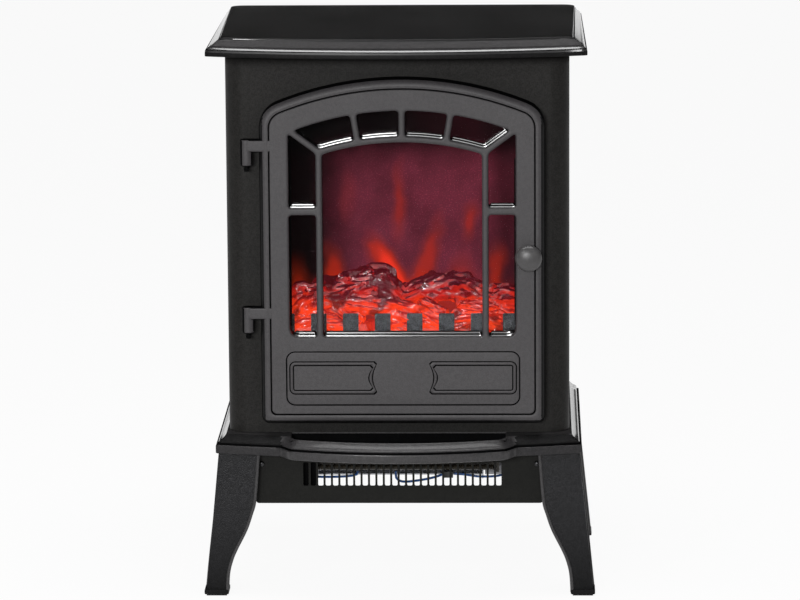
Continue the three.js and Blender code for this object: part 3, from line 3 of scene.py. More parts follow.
import bmesh
import bpy
from mathutils import Matrix, Vector, noise


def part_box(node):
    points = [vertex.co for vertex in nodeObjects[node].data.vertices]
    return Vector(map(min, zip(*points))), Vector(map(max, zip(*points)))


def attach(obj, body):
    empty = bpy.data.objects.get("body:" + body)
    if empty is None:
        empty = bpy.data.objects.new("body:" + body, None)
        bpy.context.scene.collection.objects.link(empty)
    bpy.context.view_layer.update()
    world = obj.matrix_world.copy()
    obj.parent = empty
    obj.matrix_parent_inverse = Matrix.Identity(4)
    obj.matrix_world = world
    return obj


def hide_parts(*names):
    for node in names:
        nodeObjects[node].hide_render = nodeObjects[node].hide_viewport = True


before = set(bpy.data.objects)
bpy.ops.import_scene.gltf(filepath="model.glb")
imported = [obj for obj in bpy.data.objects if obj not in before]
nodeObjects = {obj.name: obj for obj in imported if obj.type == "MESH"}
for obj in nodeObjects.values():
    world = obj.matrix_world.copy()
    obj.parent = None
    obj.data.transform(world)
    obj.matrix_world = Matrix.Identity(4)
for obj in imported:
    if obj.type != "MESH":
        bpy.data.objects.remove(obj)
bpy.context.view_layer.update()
scene = bpy.context.scene
scene.view_settings.view_transform = "Standard"

cameraSettings = dict(spot=(0.1240, -4.5542, 1.1288), yaw=-1.57, pitch=10.62, roll=-0.38,
                      lens=209.46, sensor=36, reach=50)


def addCamera(settings):
    yaw, pitch, roll = (math.radians(settings[k]) for k in ("yaw", "pitch", "roll"))
    ahead = Vector((math.sin(yaw) * math.cos(pitch), math.cos(yaw) * math.cos(pitch), -math.sin(pitch)))
    right = Vector((math.cos(yaw), -math.sin(yaw), 0))
    up = right.cross(ahead)
    tiltedRight = right * math.cos(roll) + up * math.sin(roll)
    tiltedUp = up * math.cos(roll) - right * math.sin(roll)
    data = bpy.data.cameras.new("camera")
    data.lens = settings["lens"]
    data.sensor_width = settings["sensor"]
    data.clip_end = settings["reach"]
    camera = bpy.data.objects.new("camera", data)
    camera.matrix_world = Matrix((tiltedRight, tiltedUp, -ahead)).transposed().to_4x4()
    camera.location = settings["spot"]
    scene.collection.objects.link(camera)
    scene.camera = camera


addCamera(cameraSettings)
print("camera ready")


# small helpers for shader nodes

def addNode(tree, kind, **settings):
    node = tree.nodes.new(kind)
    for key, value in settings.items():
        setattr(node, key, value)
    return node


def setSocket(tree, socket, value):
    if isinstance(value, bpy.types.NodeSocket):
        tree.links.new(value, socket)
    elif value is not None:
        socket.default_value = value


def feed(tree, node, **inputs):
    for label, value in inputs.items():
        setSocket(tree, node.inputs[label.replace("_", " ")], value)
    return node


def noiseNode(tree, vector, scale, detail=3.0, roughness=0.55):
    return feed(tree, addNode(tree, "ShaderNodeTexNoise"), Vector=vector, Scale=scale, Detail=detail,
                Roughness=roughness).outputs["Fac"]


def mathNode(tree, operation, first, second, kind="ShaderNodeMath"):
    node = addNode(tree, kind, operation=operation)
    setSocket(tree, node.inputs[0], first)
    setSocket(tree, node.inputs[1], second)
    return node.outputs[0]


def times(tree, first, second):
    return mathNode(tree, "MULTIPLY", first, second)


def vectorNode(tree, operation, first, second):
    return mathNode(tree, operation, first, second, "ShaderNodeVectorMath")


def spread(tree, value, low, high, toLow=0.0, toHigh=1.0):
    node = addNode(tree, "ShaderNodeMapRange", interpolation_type="SMOOTHSTEP")
    feed(tree, node, Value=value, From_Min=low, From_Max=high, To_Min=toLow, To_Max=toHigh)
    return node.outputs["Result"]


def blendColours(tree, factor, first, second, how="MIX"):
    node = addNode(tree, "ShaderNodeMix", data_type="RGBA", blend_type=how)
    for place, value in zip((0, 6, 7), (factor, first, second)):
        if not isinstance(value, (int, float, bpy.types.NodeSocket)):
            value = (*value, 1.0)
        setSocket(tree, node.inputs[place], value)
    return node.outputs[2]


def partsOf(tree, vector):
    return feed(tree, addNode(tree, "ShaderNodeSeparateXYZ"), Vector=vector).outputs


def mixSurface(tree, factor, first, second):
    mixer = feed(tree, addNode(tree, "ShaderNodeMixShader"), Fac=factor)
    tree.links.new(first, mixer.inputs[1])
    tree.links.new(second, mixer.inputs[2])
    tree.links.new(mixer.outputs["Shader"], tree.nodes["Material Output"].inputs["Surface"])


# shader groups that several materials share

def newGroup(name, inputs, outputs):
    group = bpy.data.node_groups.new(name, "ShaderNodeTree")
    for label, kind, value in inputs:
        socket = group.interface.new_socket(label, in_out="INPUT", socket_type=kind)
        if value is not None:
            socket.default_value = value
    for label in outputs:
        group.interface.new_socket(label, in_out="OUTPUT", socket_type="NodeSocketFloat")
    inside, outside = group.nodes.new("NodeGroupInput"), group.nodes.new("NodeGroupOutput")
    return group, inside.outputs, outside.inputs


grain = dict(coarse=0.31, fineShare=0.65, patchScale=16.0, coatRoughness=0.08)
# painted shade: the darkest colour a paint's shade reaches, how strongly it is laid on and how much rougher
# it makes the paint
paintedShade = dict(colour=(0.0005, 0.0005, 0.0005), strength=0.85, roughen=0.45)  # where a paint's shade ends


def makeGrainGroup():
    inputs = [("Vector", "NodeSocketVector", None), ("Scale", "NodeSocketFloat", 900.0),
              ("Sharpness", "NodeSocketFloat", 0.12)]
    group, given, result = newGroup("paint grain", inputs, ("Mask", "Height"))
    fine = noiseNode(group, given["Vector"], given["Scale"], 2.0, 0.6)
    coarse = noiseNode(group, given["Vector"], times(group, given["Scale"], grain["coarse"]), 2.0)
    both = mathNode(group, "ADD", times(group, fine, grain["fineShare"]),
                    times(group, coarse, 1 - grain["fineShare"]))
    low = mathNode(group, "SUBTRACT", 0.5, given["Sharpness"])
    high = mathNode(group, "ADD", 0.5, given["Sharpness"])
    group.links.new(spread(group, both, low, high), result["Mask"])
    group.links.new(both, result["Height"])
    return group


def makePatchGroup():
    inputs = [("Vector", "NodeSocketVector", None), ("Scale", "NodeSocketFloat", 14.0),
              ("Low", "NodeSocketFloat", 0.4), ("High", "NodeSocketFloat", 0.5)]
    group, given, result = newGroup("soft patches", inputs, ("Value",))
    cloud = noiseNode(group, given["Vector"], given["Scale"], 4.0)
    node = feed(group, addNode(group, "ShaderNodeMapRange"), Value=cloud, From_Min=0.3, From_Max=0.7,
                To_Min=given["Low"], To_Max=given["High"])
    group.links.new(node.outputs["Result"], result["Value"])
    return group


grainGroup = makeGrainGroup()
patchGroup = makePatchGroup()


def newMaterial(name):
    material = bpy.data.materials.new(name)
    material.use_nodes = True
    tree = material.node_tree
    coords = addNode(tree, "ShaderNodeTexCoord").outputs["Object"]
    return material, tree, tree.nodes["Principled BSDF"], coords


def grainIn(tree, vector, scale, sharpness=0.12):
    node = addNode(tree, "ShaderNodeGroup", node_tree=grainGroup)
    return feed(tree, node, Vector=vector, Scale=scale, Sharpness=sharpness).outputs


def patchesIn(tree, vector, scale, low, high):
    node = addNode(tree, "ShaderNodeGroup", node_tree=patchGroup)
    return feed(tree, node, Vector=vector, Scale=scale, Low=low, High=high).outputs["Value"]


def bumpFrom(tree, height, depth, strength=1.0):
    node = addNode(tree, "ShaderNodeBump")
    return feed(tree, node, Height=height, Distance=depth, Strength=strength).outputs[0]


# a grained paint, metal, plastic or rubber surface
def grainedMaterial(name, colour, roughness, scale, contrast, depth, specular=0.5, coat=0.0, metallic=0.0,
                    shade=None):
    # shade: heights (light end, dark end) of a painted shade, between which the paint turns darker and
    # rougher
    material, tree, shader, coords = newMaterial(name)
    speckle = grainIn(tree, coords, scale)
    darker = [c * (1 - contrast) for c in colour]
    lighter = [min(1, c * (1 + contrast)) for c in colour]
    paint = blendColours(tree, speckle["Mask"], darker, lighter)
    rough = patchesIn(tree, coords, grain["patchScale"], *roughness)
    if shade:
        darkEnds = (0.0, 1.0) if shade[1] > shade[0] else (1.0, 0.0)
        darkness = spread(tree, partsOf(tree, coords)["Z"], *sorted(shade), *darkEnds)
        paint = blendColours(tree, times(tree, darkness, paintedShade["strength"]), paint, paintedShade["colour"])
        rough = mathNode(tree, "ADD", rough, times(tree, darkness, paintedShade["roughen"]))
    feed(tree, shader, Base_Color=paint, Roughness=rough, Normal=bumpFrom(tree, speckle["Height"], depth),
         Metallic=metallic, Specular_IOR_Level=specular, Coat_Weight=coat,
         Coat_Roughness=grain["coatRoughness"])
    return material


def brushedMaterial(name, colour, roughness, stretch=(1, 1, 30)):
    material, tree, shader, coords = newMaterial(name)
    turned = feed(tree, addNode(tree, "ShaderNodeMapping"), Vector=coords, Scale=stretch).outputs[0]
    lines = noiseNode(tree, turned, 160.0, 3.0)
    feed(tree, shader, Base_Color=blendColours(tree, lines, [c * 0.85 for c in colour], colour),
         Roughness=spread(tree, lines, 0.3, 0.7, *roughness), Normal=bumpFrom(tree, lines, 0.00004),
         Metallic=1.0)
    return material


# each finish: name, colour, roughness (low, high), grain scale, contrast and depth
castPaint = grainedMaterial("cast paint", (0.030, 0.0285, 0.0295), (0.40, 0.48), 800, 0.3, 0.00008,
                            specular=0.32, coat=0.16)
# shaded cast paint is a darker copy of cast paint: painted shade where the castings turn away from the light
shadedPaint = grainedMaterial("shaded cast paint", (0.006, 0.0058, 0.006), (0.46, 0.54), 800, 0.4, 0.00006,
                              specular=0.10)
# base nose paint is a darker copy of cast paint: painted shade on the base's lower tier beside the lip
nosePaint = grainedMaterial("base nose paint", (0.0215, 0.0205, 0.0215), (0.42, 0.50), 800, 0.3, 0.00008,
                            specular=0.22)
edgePaint = grainedMaterial("polished edge paint", (0.014, 0.0135, 0.014), (0.30, 0.36), 700, 0.2, 0.00001,
                            specular=0.4, coat=0.9)
lidFieldPaint = grainedMaterial("lid field paint", (0.0090, 0.0086, 0.0085), (0.12, 0.17), 700, 0.25, 0.00003,
                                specular=0.12)
# black paint for the parts that are black, also laid as painted shade on grooves, recesses and faces the
# light misses
blackPaintAndShade = grainedMaterial("black paint and painted shade", (0.0016, 0.0016, 0.0018), (0.6, 0.7), 600, 0.3, 0.00004,
                            specular=0.03)
cabinetPaint = grainedMaterial("cabinet paint", (0.0155, 0.0148, 0.0140), (0.44, 0.54), 800, 0.25, 0.00005,
                               specular=0.10)
# panel paint carries a painted shadow: it turns dark and rough near the top of the panel, under the lid
panelPaint = grainedMaterial("panel paint", (0.0162, 0.0155, 0.0146), (0.44, 0.54), 800, 0.25, 0.00005,
                             specular=0.09, shade=(0.5215, 0.5325))
doorPaint = grainedMaterial("door paint", (0.0425, 0.0395, 0.0415), (0.46, 0.54), 1000, 0.16, 0.00022,
                            specular=0.38)
knobPaint = grainedMaterial("knob paint", (0.055, 0.053, 0.0535), (0.34, 0.40), 1500, 0.12, 0.00004,
                            specular=0.46)
apronPaint = grainedMaterial("apron paint", (0.0100, 0.0100, 0.0090), (0.42, 0.5), 700, 0.15, 0.00003,
                             specular=0.08)
# leg paint carries a painted shade: it turns dark and rough towards the feet
legPaint = grainedMaterial("leg paint", (0.0130, 0.0130, 0.0142), (0.34, 0.40), 700, 0.32, 0.0006,
                           specular=0.14, shade=(0.125, -0.045))
fretPaint = grainedMaterial("fret hammer paint", (0.032, 0.034, 0.037), (0.40, 0.50), 900, 0.7, 0.0003,
                            specular=0.15)
fireboxBlack = grainedMaterial("firebox black", (0.0022, 0.0022, 0.0024), (0.55, 0.7), 500, 0.3, 0.00006,
                               specular=0.3)
motorPaint = grainedMaterial("motor paint", (0.16, 0.16, 0.17), (0.35, 0.5), 300, 0.15, 0.00004, metallic=0.6)
padRubber = grainedMaterial("pad rubber", (0.012, 0.012, 0.012), (0.75, 0.9), 700, 0.25, 0.00006,
                            specular=0.3)
blackPlastic = grainedMaterial("black plastic", (0.014, 0.014, 0.0145), (0.42, 0.52), 1400, 0.2, 0.00003)
boardGreen = grainedMaterial("solder mask", (0.02, 0.12, 0.05), (0.3, 0.4), 400, 0.2, 0.00002)
micaBoard = grainedMaterial("mica board", (0.020, 0.016, 0.010), (0.4, 0.6), 260, 0.35, 0.00005)
leadBlue = grainedMaterial("lead insulation", (0.02, 0.08, 0.26), (0.3, 0.4), 500, 0.08, 0.00001)
ivoryNylon = grainedMaterial("ivory nylon", (0.72, 0.69, 0.60), (0.3, 0.4), 400, 0.06, 0.00002)
darkSteel = brushedMaterial("darkened steel", (0.05, 0.05, 0.052), (0.3, 0.45))
zincSteel = brushedMaterial("zinc steel", (0.62, 0.63, 0.66), (0.25, 0.4))
reflectorMetal = brushedMaterial("bright reflector", (0.82, 0.82, 0.84), (0.12, 0.2), (1, 8, 1))
rotorFoil = brushedMaterial("rotor foil", (0.88, 0.88, 0.9), (0.06, 0.14), (6, 1, 1))


# clear glass that lets the lamps shine through
def glassMaterial():
    material, tree, shader, coords = newMaterial("door glass")
    feed(tree, shader, Base_Color=(0.93, 0.94, 0.95, 1.0), Transmission_Weight=1.0, IOR=1.48,
         Roughness=spread(tree, noiseNode(tree, coords, 6.0, 2.0), 0.3, 0.7, 0.0, 0.02))
    clear = feed(tree, addNode(tree, "ShaderNodeBsdfTransparent"), Color=(0.9, 0.9, 0.9, 1))
    shadow = addNode(tree, "ShaderNodeLightPath").outputs["Is Shadow Ray"]
    mixSurface(tree, shadow, shader.outputs["BSDF"], clear.outputs["BSDF"])
    return material


# painted light: the flames and the haze that glow on the screen stand in for the light that the LED board
# throws through the rotor
screen = dict(
    # soft flames: place (x, z) and half sizes in metres, lean in degrees, brightness
    flames=[
        dict(spot=(-0.008, 0.306), size=(0.0098, 0.036), lean=25, glow=1.1),
        dict(spot=(-0.102, 0.296), size=(0.0100, 0.026), lean=0, glow=0.36),
        dict(spot=(-0.031, 0.330), size=(0.0055, 0.012), lean=14, glow=0.35),
        dict(spot=(0.026, 0.322), size=(0.0088, 0.038), lean=-18, glow=0.55),
        dict(spot=(-0.066, 0.312), size=(0.0090, 0.024), lean=4, glow=0.55),
        dict(spot=(0.000, 0.378), size=(0.0062, 0.034), lean=-2, glow=0.42),
        dict(spot=(-0.050, 0.385), size=(0.007, 0.022), lean=2, glow=0.14),
        dict(spot=(0.060, 0.308), size=(0.011, 0.020), lean=-4, glow=0.34),
        dict(spot=(0.070, 0.360), size=(0.0065, 0.018), lean=-16, glow=0.46),
        dict(spot=(0.096, 0.312), size=(0.0075, 0.022), lean=0, glow=0.46),
        dict(spot=(0.004, 0.278), size=(0.10, 0.026), lean=0, glow=0.55),
    ],
    flameColours=[(0.0, (0.0, 0.0, 0.0)), (0.3, (0.10, 0.006, 0.001)), (0.65, (0.42, 0.018, 0.004)),
                  (1.0, (0.86, 0.034, 0.010))],
    widen=(1.7, 1.6), sway=0.022, swayScale=26.0, haze=(0.128, 0.017, 0.031),
    topFade=(0.408, 0.450), leftFade=(-0.092, -0.026), rightFade=(0.078, 0.104), topGlow=(-0.02, 0.08),
    film=((0.0012, 0.0004, 0.0006), (0.006, 0.0012, 0.0024)))


# how strongly the flames glow at each place
def flameGlow(tree, moved):
    total = None
    for flame in screen["flames"]:
        mapping = addNode(tree, "ShaderNodeMapping", vector_type="TEXTURE")
        x, z = flame["spot"]
        (width, height), (wider, taller) = flame["size"], screen["widen"]
        feed(tree, mapping, Vector=moved, Location=(x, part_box("flame_screen")[0].y, z),
             Rotation=(0, math.radians(-flame["lean"]), 0), Scale=(width * wider, 1.0, height * taller))
        ball = addNode(tree, "ShaderNodeTexGradient", gradient_type="SPHERICAL")
        feed(tree, ball, Vector=mapping.outputs[0])
        lit = times(tree, spread(tree, ball.outputs["Fac"], 0.0, 0.85), flame["glow"])
        total = lit if total is None else mathNode(tree, "ADD", total, lit)
    return total


def flameRamp(tree, total):
    ramp = feed(tree, addNode(tree, "ShaderNodeValToRGB"), Fac=total)
    stops = screen["flameColours"]
    elements = ramp.color_ramp.elements
    while len(elements) < len(stops):
        elements.new(0.5)
    for element, (place, colour) in zip(elements, stops):
        element.position = place
        element.color = (*colour, 1)
    return ramp.outputs["Color"]


def screenMaterial():
    material, tree, shader, coords = newMaterial("flame screen")
    wobble = feed(tree, addNode(tree, "ShaderNodeTexNoise"), Vector=coords, Scale=screen["swayScale"],
                  Detail=2.0).outputs["Color"]
    centred = vectorNode(tree, "SUBTRACT", wobble, (0.5, 0.5, 0.5))
    small = vectorNode(tree, "MULTIPLY", centred, (screen["sway"], 0.0, screen["sway"]))
    moved = vectorNode(tree, "ADD", coords, small)
    total = flameGlow(tree, moved)
    blotchAndShade = spread(tree, noiseNode(tree, coords, 30.0, 3.0), 0.25, 0.75, 0.74, 1.16)
    sparkle = spread(tree, noiseNode(tree, coords, 760.0, 1.0), 0.50, 0.78, 0.9, 1.8)
    parts = partsOf(tree, moved)
    # painted shade: the screen's glow and base colour turn dark towards its top and sides
    rightward = spread(tree, parts["X"], *screen["topGlow"])
    top = spread(tree, parts["Z"], *screen["topFade"], 1.0, 0.01)
    sides = times(tree, spread(tree, parts["X"], *screen["leftFade"], 0.012, 1.0),
                  spread(tree, parts["X"], *screen["rightFade"], 1.0, 0.38))
    edge = times(tree, sides, mathNode(tree, "MAXIMUM", top, times(tree, rightward, 0.12)))
    blotchAndShade = times(tree, blotchAndShade, edge)
    haze = blendColours(tree, 1.0, screen["haze"], blotchAndShade, "MULTIPLY")
    haze = blendColours(tree, 1.0, haze, sparkle, "MULTIPLY")
    fade = spread(tree, total, 0.05, 0.75, 1.0, 0.15)
    haze = blendColours(tree, 1.0, haze, fade, "MULTIPLY")
    glow = blendColours(tree, 1.0, haze, flameRamp(tree, total), "ADD")
    feed(tree, shader, Base_Color=blendColours(tree, blotchAndShade, *screen["film"]),
         Roughness=patchesIn(tree, coords, 20.0, 0.35, 0.5), Emission_Color=glow, Emission_Strength=1.0,
         Specular_IOR_Level=0.02)
    return material


# red resin: a painted glow, strongest low down where the LED board under the bed would light it, and fading
# between the heat heights; painted shade darkens the upward faces, and charred patches are scattered at
# random
resin = dict(body=(0.16, 0.006, 0.005), charAndShadeBody=(0.020, 0.004, 0.008), dimGlow=(0.26, 0.004, 0.005),
             brightGlow=(1.0, 0.055, 0.008), charAndShadeGlow=(0.012, 0.001, 0.002), wander=0.05,
             heat=(0.010, 0.058), charHeights=(0.004, 0.034), darkHeights=(0.014, 0.050), bump=0.00018)


def logMaterial():
    material, tree, shader, coords = newMaterial("glowing log resin")
    height = mathNode(tree, "SUBTRACT", partsOf(tree, coords)["Z"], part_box("log_set")[0].z)
    normal = addNode(tree, "ShaderNodeNewGeometry").outputs["Normal"]
    upward = spread(tree, partsOf(tree, normal)["Z"], -0.15, 0.85)
    wander = mathNode(tree, "SUBTRACT", noiseNode(tree, coords, 38.0, 3.0), 0.5)
    rise = mathNode(tree, "ADD", height, times(tree, wander, resin["wander"]))
    lowness = spread(tree, rise, *resin["heat"], 1.0, 0.0)
    brightGlow = times(tree, lowness, mathNode(tree, "SUBTRACT", 1.0, times(tree, upward, 0.8)))
    streaks = noiseNode(tree, coords, 150.0, 4.0)
    brightGlow = times(tree, brightGlow, spread(tree, streaks, 0.3, 0.7, 0.6, 1.25))
    char = spread(tree, noiseNode(tree, coords, 44.0, 2.0, 0.5), 0.38, 0.50, 1.0, 0.0)
    char = times(tree, char, spread(tree, rise, *resin["charHeights"], 0.8, 0.9))
    shadow = times(tree, upward, spread(tree, rise, *resin["darkHeights"], 0.2, 1.0))
    dark = mathNode(tree, "MAXIMUM", char, shadow)
    body = blendColours(tree, dark, resin["body"], resin["charAndShadeBody"])
    glow = blendColours(tree, brightGlow, resin["dimGlow"], resin["brightGlow"])
    glow = blendColours(tree, times(tree, dark, 0.85), glow, resin["charAndShadeGlow"])
    feed(tree, shader, Base_Color=body, Emission_Color=glow, Emission_Strength=1.0,
         Normal=bumpFrom(tree, streaks, resin["bump"], 0.8), Specular_IOR_Level=0.75,
         Roughness=patchesIn(tree, coords, 60.0, 0.10, 0.14))
    return material


doorGlass = glassMaterial()
screenFilm = screenMaterial()
logResin = logMaterial()
print("materials ready")


# mesh helpers

meshLimits = dict(weld=1e-6, bevelAngle=34, bevelSteps=2, flat=1)  # metres and degrees


def ringFrom(bm, places):
    verts = [bm.verts.new(place) for place in places]
    for first, second in zip(verts, verts[1:] + verts[:1]):
        bm.edges.new((first, second))
    return verts


def ringEdges(bm, ring):
    return [bm.edges.get(pair) for pair in zip(ring, ring[1:] + ring[:1])]


# the next ring of a wall that follows an outline
def growRing(bm, ring, places, finish=0):
    made = bmesh.ops.extrude_edge_only(bm, edges=ringEdges(bm, ring))["geom"]
    for face in made:
        if isinstance(face, bmesh.types.BMFace):
            face.material_index = finish
    fresh = {v for v in made if isinstance(v, bmesh.types.BMVert)}
    following = []
    for old, place in zip(ring, places):
        new = next(e.other_vert(old) for e in old.link_edges if e.other_vert(old) in fresh)
        new.co = place
        following.append(new)
    return following


def fillBetween(bm, *rings):
    edges = [edge for ring in rings for edge in ringEdges(bm, ring)]
    bmesh.ops.triangle_fill(bm, edges=edges, use_beauty=True, use_dissolve=False)


def closeRing(bm, ring):
    bmesh.ops.contextual_create(bm, geom=ring)


def addBlock(bm, low, high):
    low, high = Vector(low), Vector(high)
    place = Matrix.Translation((low + high) / 2) @ Matrix.Diagonal((*(high - low), 1))
    return bmesh.ops.create_cube(bm, size=1, matrix=place)["verts"]


def roundEdges(bm, edges, width, segments):
    bmesh.ops.bevel(bm, geom=list(dict.fromkeys(edges)), offset=width, segments=segments, profile=0.5,
                    affect="EDGES", material=-1)


# a plate at each side, with its outer face at a given reach from the middle
def addSidePlates(bm, reach, thick, low, high):
    for side in (-1, 1):
        first, second = sorted((side * reach, side * (reach - thick)))
        addBlock(bm, (first, *low), (second, *high))


def addTurned(bm, centre, axis, profile, steps):
    # profile: (radius, distance along the axis)
    axis = Vector(axis)
    side = axis.orthogonal().normalized()
    verts = [bm.verts.new(Vector(centre) + side * r + axis * d) for r, d in profile]
    edges = [bm.edges.new(pair) for pair in zip(verts, verts[1:])]
    bmesh.ops.spin(bm, geom=verts + edges, cent=centre, axis=axis, angle=2 * math.pi, steps=steps,
                   use_merge=True)


# sharp: degrees between faces that stay a crease; bevel: width of the softened edges
def addPiece(name, bm, body, materials, replaced, sharp, bevel=0):
    bmesh.ops.remove_doubles(bm, verts=bm.verts, dist=meshLimits["weld"])
    bmesh.ops.recalc_face_normals(bm, faces=bm.faces)
    mesh = bpy.data.meshes.new(name)
    bm.to_mesh(mesh)
    bm.free()
    mesh.shade_smooth()
    mesh.set_sharp_from_angle(angle=math.radians(sharp))
    for material in materials:
        mesh.materials.append(material)
    piece = bpy.data.objects.new(name, mesh)
    scene.collection.objects.link(piece)
    if bevel:
        modifier = piece.modifiers.new("edges", "BEVEL")
        modifier.width = bevel
        modifier.segments = meshLimits["bevelSteps"]
        modifier.limit_method = "ANGLE"
        modifier.angle_limit = math.radians(meshLimits["bevelAngle"])
    piece.modifiers.new("shading", "WEIGHTED_NORMAL").keep_sharp = True
    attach(piece, body)
    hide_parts(*replaced)


# a softened copy of a CAD piece, for parts whose shape is already complete
def softened(node, body, slotName, material, width):
    bm = bmesh.new()
    bm.from_mesh(nodeObjects[node].data)
    bmesh.ops.remove_doubles(bm, verts=bm.verts, dist=meshLimits["weld"])
    bmesh.ops.dissolve_limit(bm, angle_limit=math.radians(meshLimits["flat"]), verts=bm.verts,
                             edges=bm.edges)
    addPiece("soft_" + node, bm, body, [material], (node,), 38, width)


def arcPoints(cx, cy, radius, start, stop, count):
    steps = [start + (stop - start) * i / count for i in range(count + 1)]
    return [(cx + radius * math.cos(a), cy + radius * math.sin(a)) for a in steps]


def linePoints(first, second, count):
    return [(first[0] + (second[0] - first[0]) * i / count, first[1] + (second[1] - first[1]) * i / count)
            for i in range(1, count)]


# arched outline with the same count of points for every inset
def archOutline(cx, arcZ, half, low, radius, top, foot):
    top, foot = max(top, 0.0006), max(foot, 0.0006)
    side = half - top
    cornerZ = arcZ + math.sqrt((radius - top) ** 2 - side ** 2)
    angle = math.atan2(cornerZ - arcZ, side)
    right = arcPoints(cx + half - foot, low + foot, foot, -math.pi / 2, 0, 8)
    upper = arcPoints(cx + side, cornerZ, top, 0, angle, 8)
    crown = arcPoints(cx, arcZ, radius, angle, math.pi - angle, 72)[1:-1]
    far = arcPoints(cx - side, cornerZ, top, math.pi - angle, math.pi, 8)
    left = arcPoints(cx - half + foot, low + foot, foot, math.pi, 1.5 * math.pi, 8)
    return (right + linePoints(right[-1], upper[0], 12) + upper + crown + far
            + linePoints(far[-1], left[0], 12) + left + linePoints(left[-1], right[0], 20))


def roundedOutline(x0, x1, z0, z1, r, count=8):
    r = max(r, 0.0004)
    corners = [(x1 - r, z0 + r, -0.5), (x1 - r, z1 - r, 0), (x0 + r, z1 - r, 0.5), (x0 + r, z0 + r, 1)]
    points = []
    for cx, cz, turn in corners:
        points += arcPoints(cx, cz, r, turn * math.pi, (turn + 0.5) * math.pi, count)
    return points


def clamp(value):
    return min(1, max(0, value))


def upright(points, y):
    return [Vector((x, y, z)) for x, z in points]


def level(points, z):
    return [Vector((x, y, z)) for x, y in points]


# upright rings that follow an outline inward; each step: inset, depth, finish
def followSteps(bm, ring, outlineAt, steps, y):
    for inset, depth, finish in steps:
        ring = growRing(bm, ring, upright(outlineAt(inset), y + depth), finish)
    return ring


panelLow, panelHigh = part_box("front_panel")
frontY = panelLow.y
doorLow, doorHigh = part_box("door_frame")

# finishes of a casting, as places in its list of paints; the last is an extra paint of the casting: the lid's
# field paint, and the base's painted shade on its lower tier beside the lip
mainFace, paintedShadeFace, shadedFace, polishedFace, extraFace = range(5)
sharedPaints = [blackPaintAndShade, shadedPaint, edgePaint]

# door casting
door = dict(width=0.276, arcRadius=0.325, corner=0.026, foot=0.0075, flank=0.0036, flankDepth=0.0045,
            bead=0.0102, groove=0.0014, grooveDepth=0.0022, roll=0.0072, setback=0.0003, skin=0.004,
            wall=0.004, windowSide=0.0282, windowUp=0.0864, windowDown=0.031, windowFoot=0.010,
            rebate=0.0036, bar=0.0061, barDepth=0.0162, barSide=0.0294, ringDown=0.0587, crossDown=0.1292,
            crossHeight=0.0071, fan=9.2, tilt=0.734, soft=0.0023, round=0.0036)
# small steps in the sill of each light: rise, depth, finish; the black steps are painted shadow lines between
# the polished ones
sill = dict(steps=[(0.0, 0.0016, paintedShadeFace), (0.0009, 0.00174, polishedFace), (0.0017, 0.0062, paintedShadeFace),
                   (0.0025, 0.00632, polishedFace)],
            lowSteps=[(0.0, 0.0016, paintedShadeFace), (0.0013, 0.0019, polishedFace), (0.0021, 0.0060, paintedShadeFace),
                      (0.0033, 0.00628, polishedFace)],
            lowBand=0.02, flattest=0.68, steepest=0.5, ease=0.06)
# the cuts round the field and round each plaque take black paint: painted shade in the grooves
field = dict(margin=0.024, up=0.0184, height=0.054, corner=0.009,
             steps=[(0.0001, 0.0002, paintedShadeFace), (0.0002, 0.0016, paintedShadeFace), (0.0012, 0.0016, paintedShadeFace),
                    (0.0013, 0.0003, paintedShadeFace), (0.0020, 0.0, mainFace)])
plaque = dict(inner=0.0252, side=0.0032, low=0.0110, high=0.0099, corner=0.006, waist=0.004, nick=0.0024,
              steps=[(0.0001, 0.0014, paintedShadeFace), (0.0010, 0.0014, paintedShadeFace), (0.0011, 0.0002, paintedShadeFace),
                     (0.0017, -0.0002, mainFace), (0.0024, -0.0003, mainFace), (0.0032, -0.0002, mainFace),
                     (0.0037, 0.0002, mainFace), (0.0038, 0.0014, paintedShadeFace), (0.0047, 0.0014, paintedShadeFace),
                     (0.0048, 0.0, paintedShadeFace)])
# the last entry: how far a face of an arm turns left, right or up before it takes black paint as a painted
# shadow
hinge = dict(armHeight=0.0123, knuckle=0.0264, radius=0.006, up=0.0894, down=0.0852, out=0.0124, round=0.0024,
             lap=0.0004, setback=0.0002, shadowTurns=(0.62, 0.85, 0.55))
strike = dict(front=0.003, ends=0.004, behind=0.0003)

doorX = doorHigh.x - door["width"] / 2
doorHalf = door["width"] / 2
faceY = doorLow.y
doorBack = doorHigh.y
arcZ = doorHigh.z - door["arcRadius"]
windowHalf = doorHalf - door["windowSide"]
windowRadius = door["arcRadius"] - door["windowDown"]
windowZ = doorLow.z + door["windowUp"]


def doorRing(inset):
    return archOutline(doorX, arcZ, doorHalf - inset, doorLow.z + inset, door["arcRadius"] - inset,
                       door["corner"] - inset, door["foot"] - inset * 0.25)


def windowRing(grow):
    return archOutline(doorX, arcZ, windowHalf + grow, windowZ - grow, windowRadius + grow, 0.002 + grow,
                       door["windowFoot"] + grow)


# points between two others on an arc about the centre of the arch
def arcBetween(first, second, count):
    radius = math.hypot(first[0], first[1] - arcZ)
    a, b = (math.atan2(p[1] - arcZ, p[0]) for p in (first, second))
    return [(radius * math.cos(a + (b - a) * i / count), arcZ + radius * math.sin(a + (b - a) * i / count), 0)
            for i in range(1, count)]


# where a slanted bar's edge meets an arc
def lineOnArc(height, slope, radius):
    low = height - arcZ
    square = 1 + slope * slope
    across = (math.sqrt(square * radius * radius - low * low) - slope * low) / square
    return across, height + slope * across, door["round"]


# where one edge of a bar of the fan meets an arc
def fanOnArc(turn, edge, radius):
    half = door["bar"] / 2
    along = math.sqrt(radius * radius - half * half)
    s, c = math.sin(math.radians(turn)), math.cos(math.radians(turn))
    return s * along + edge * c * half, arcZ + c * along - edge * s * half, door["round"]


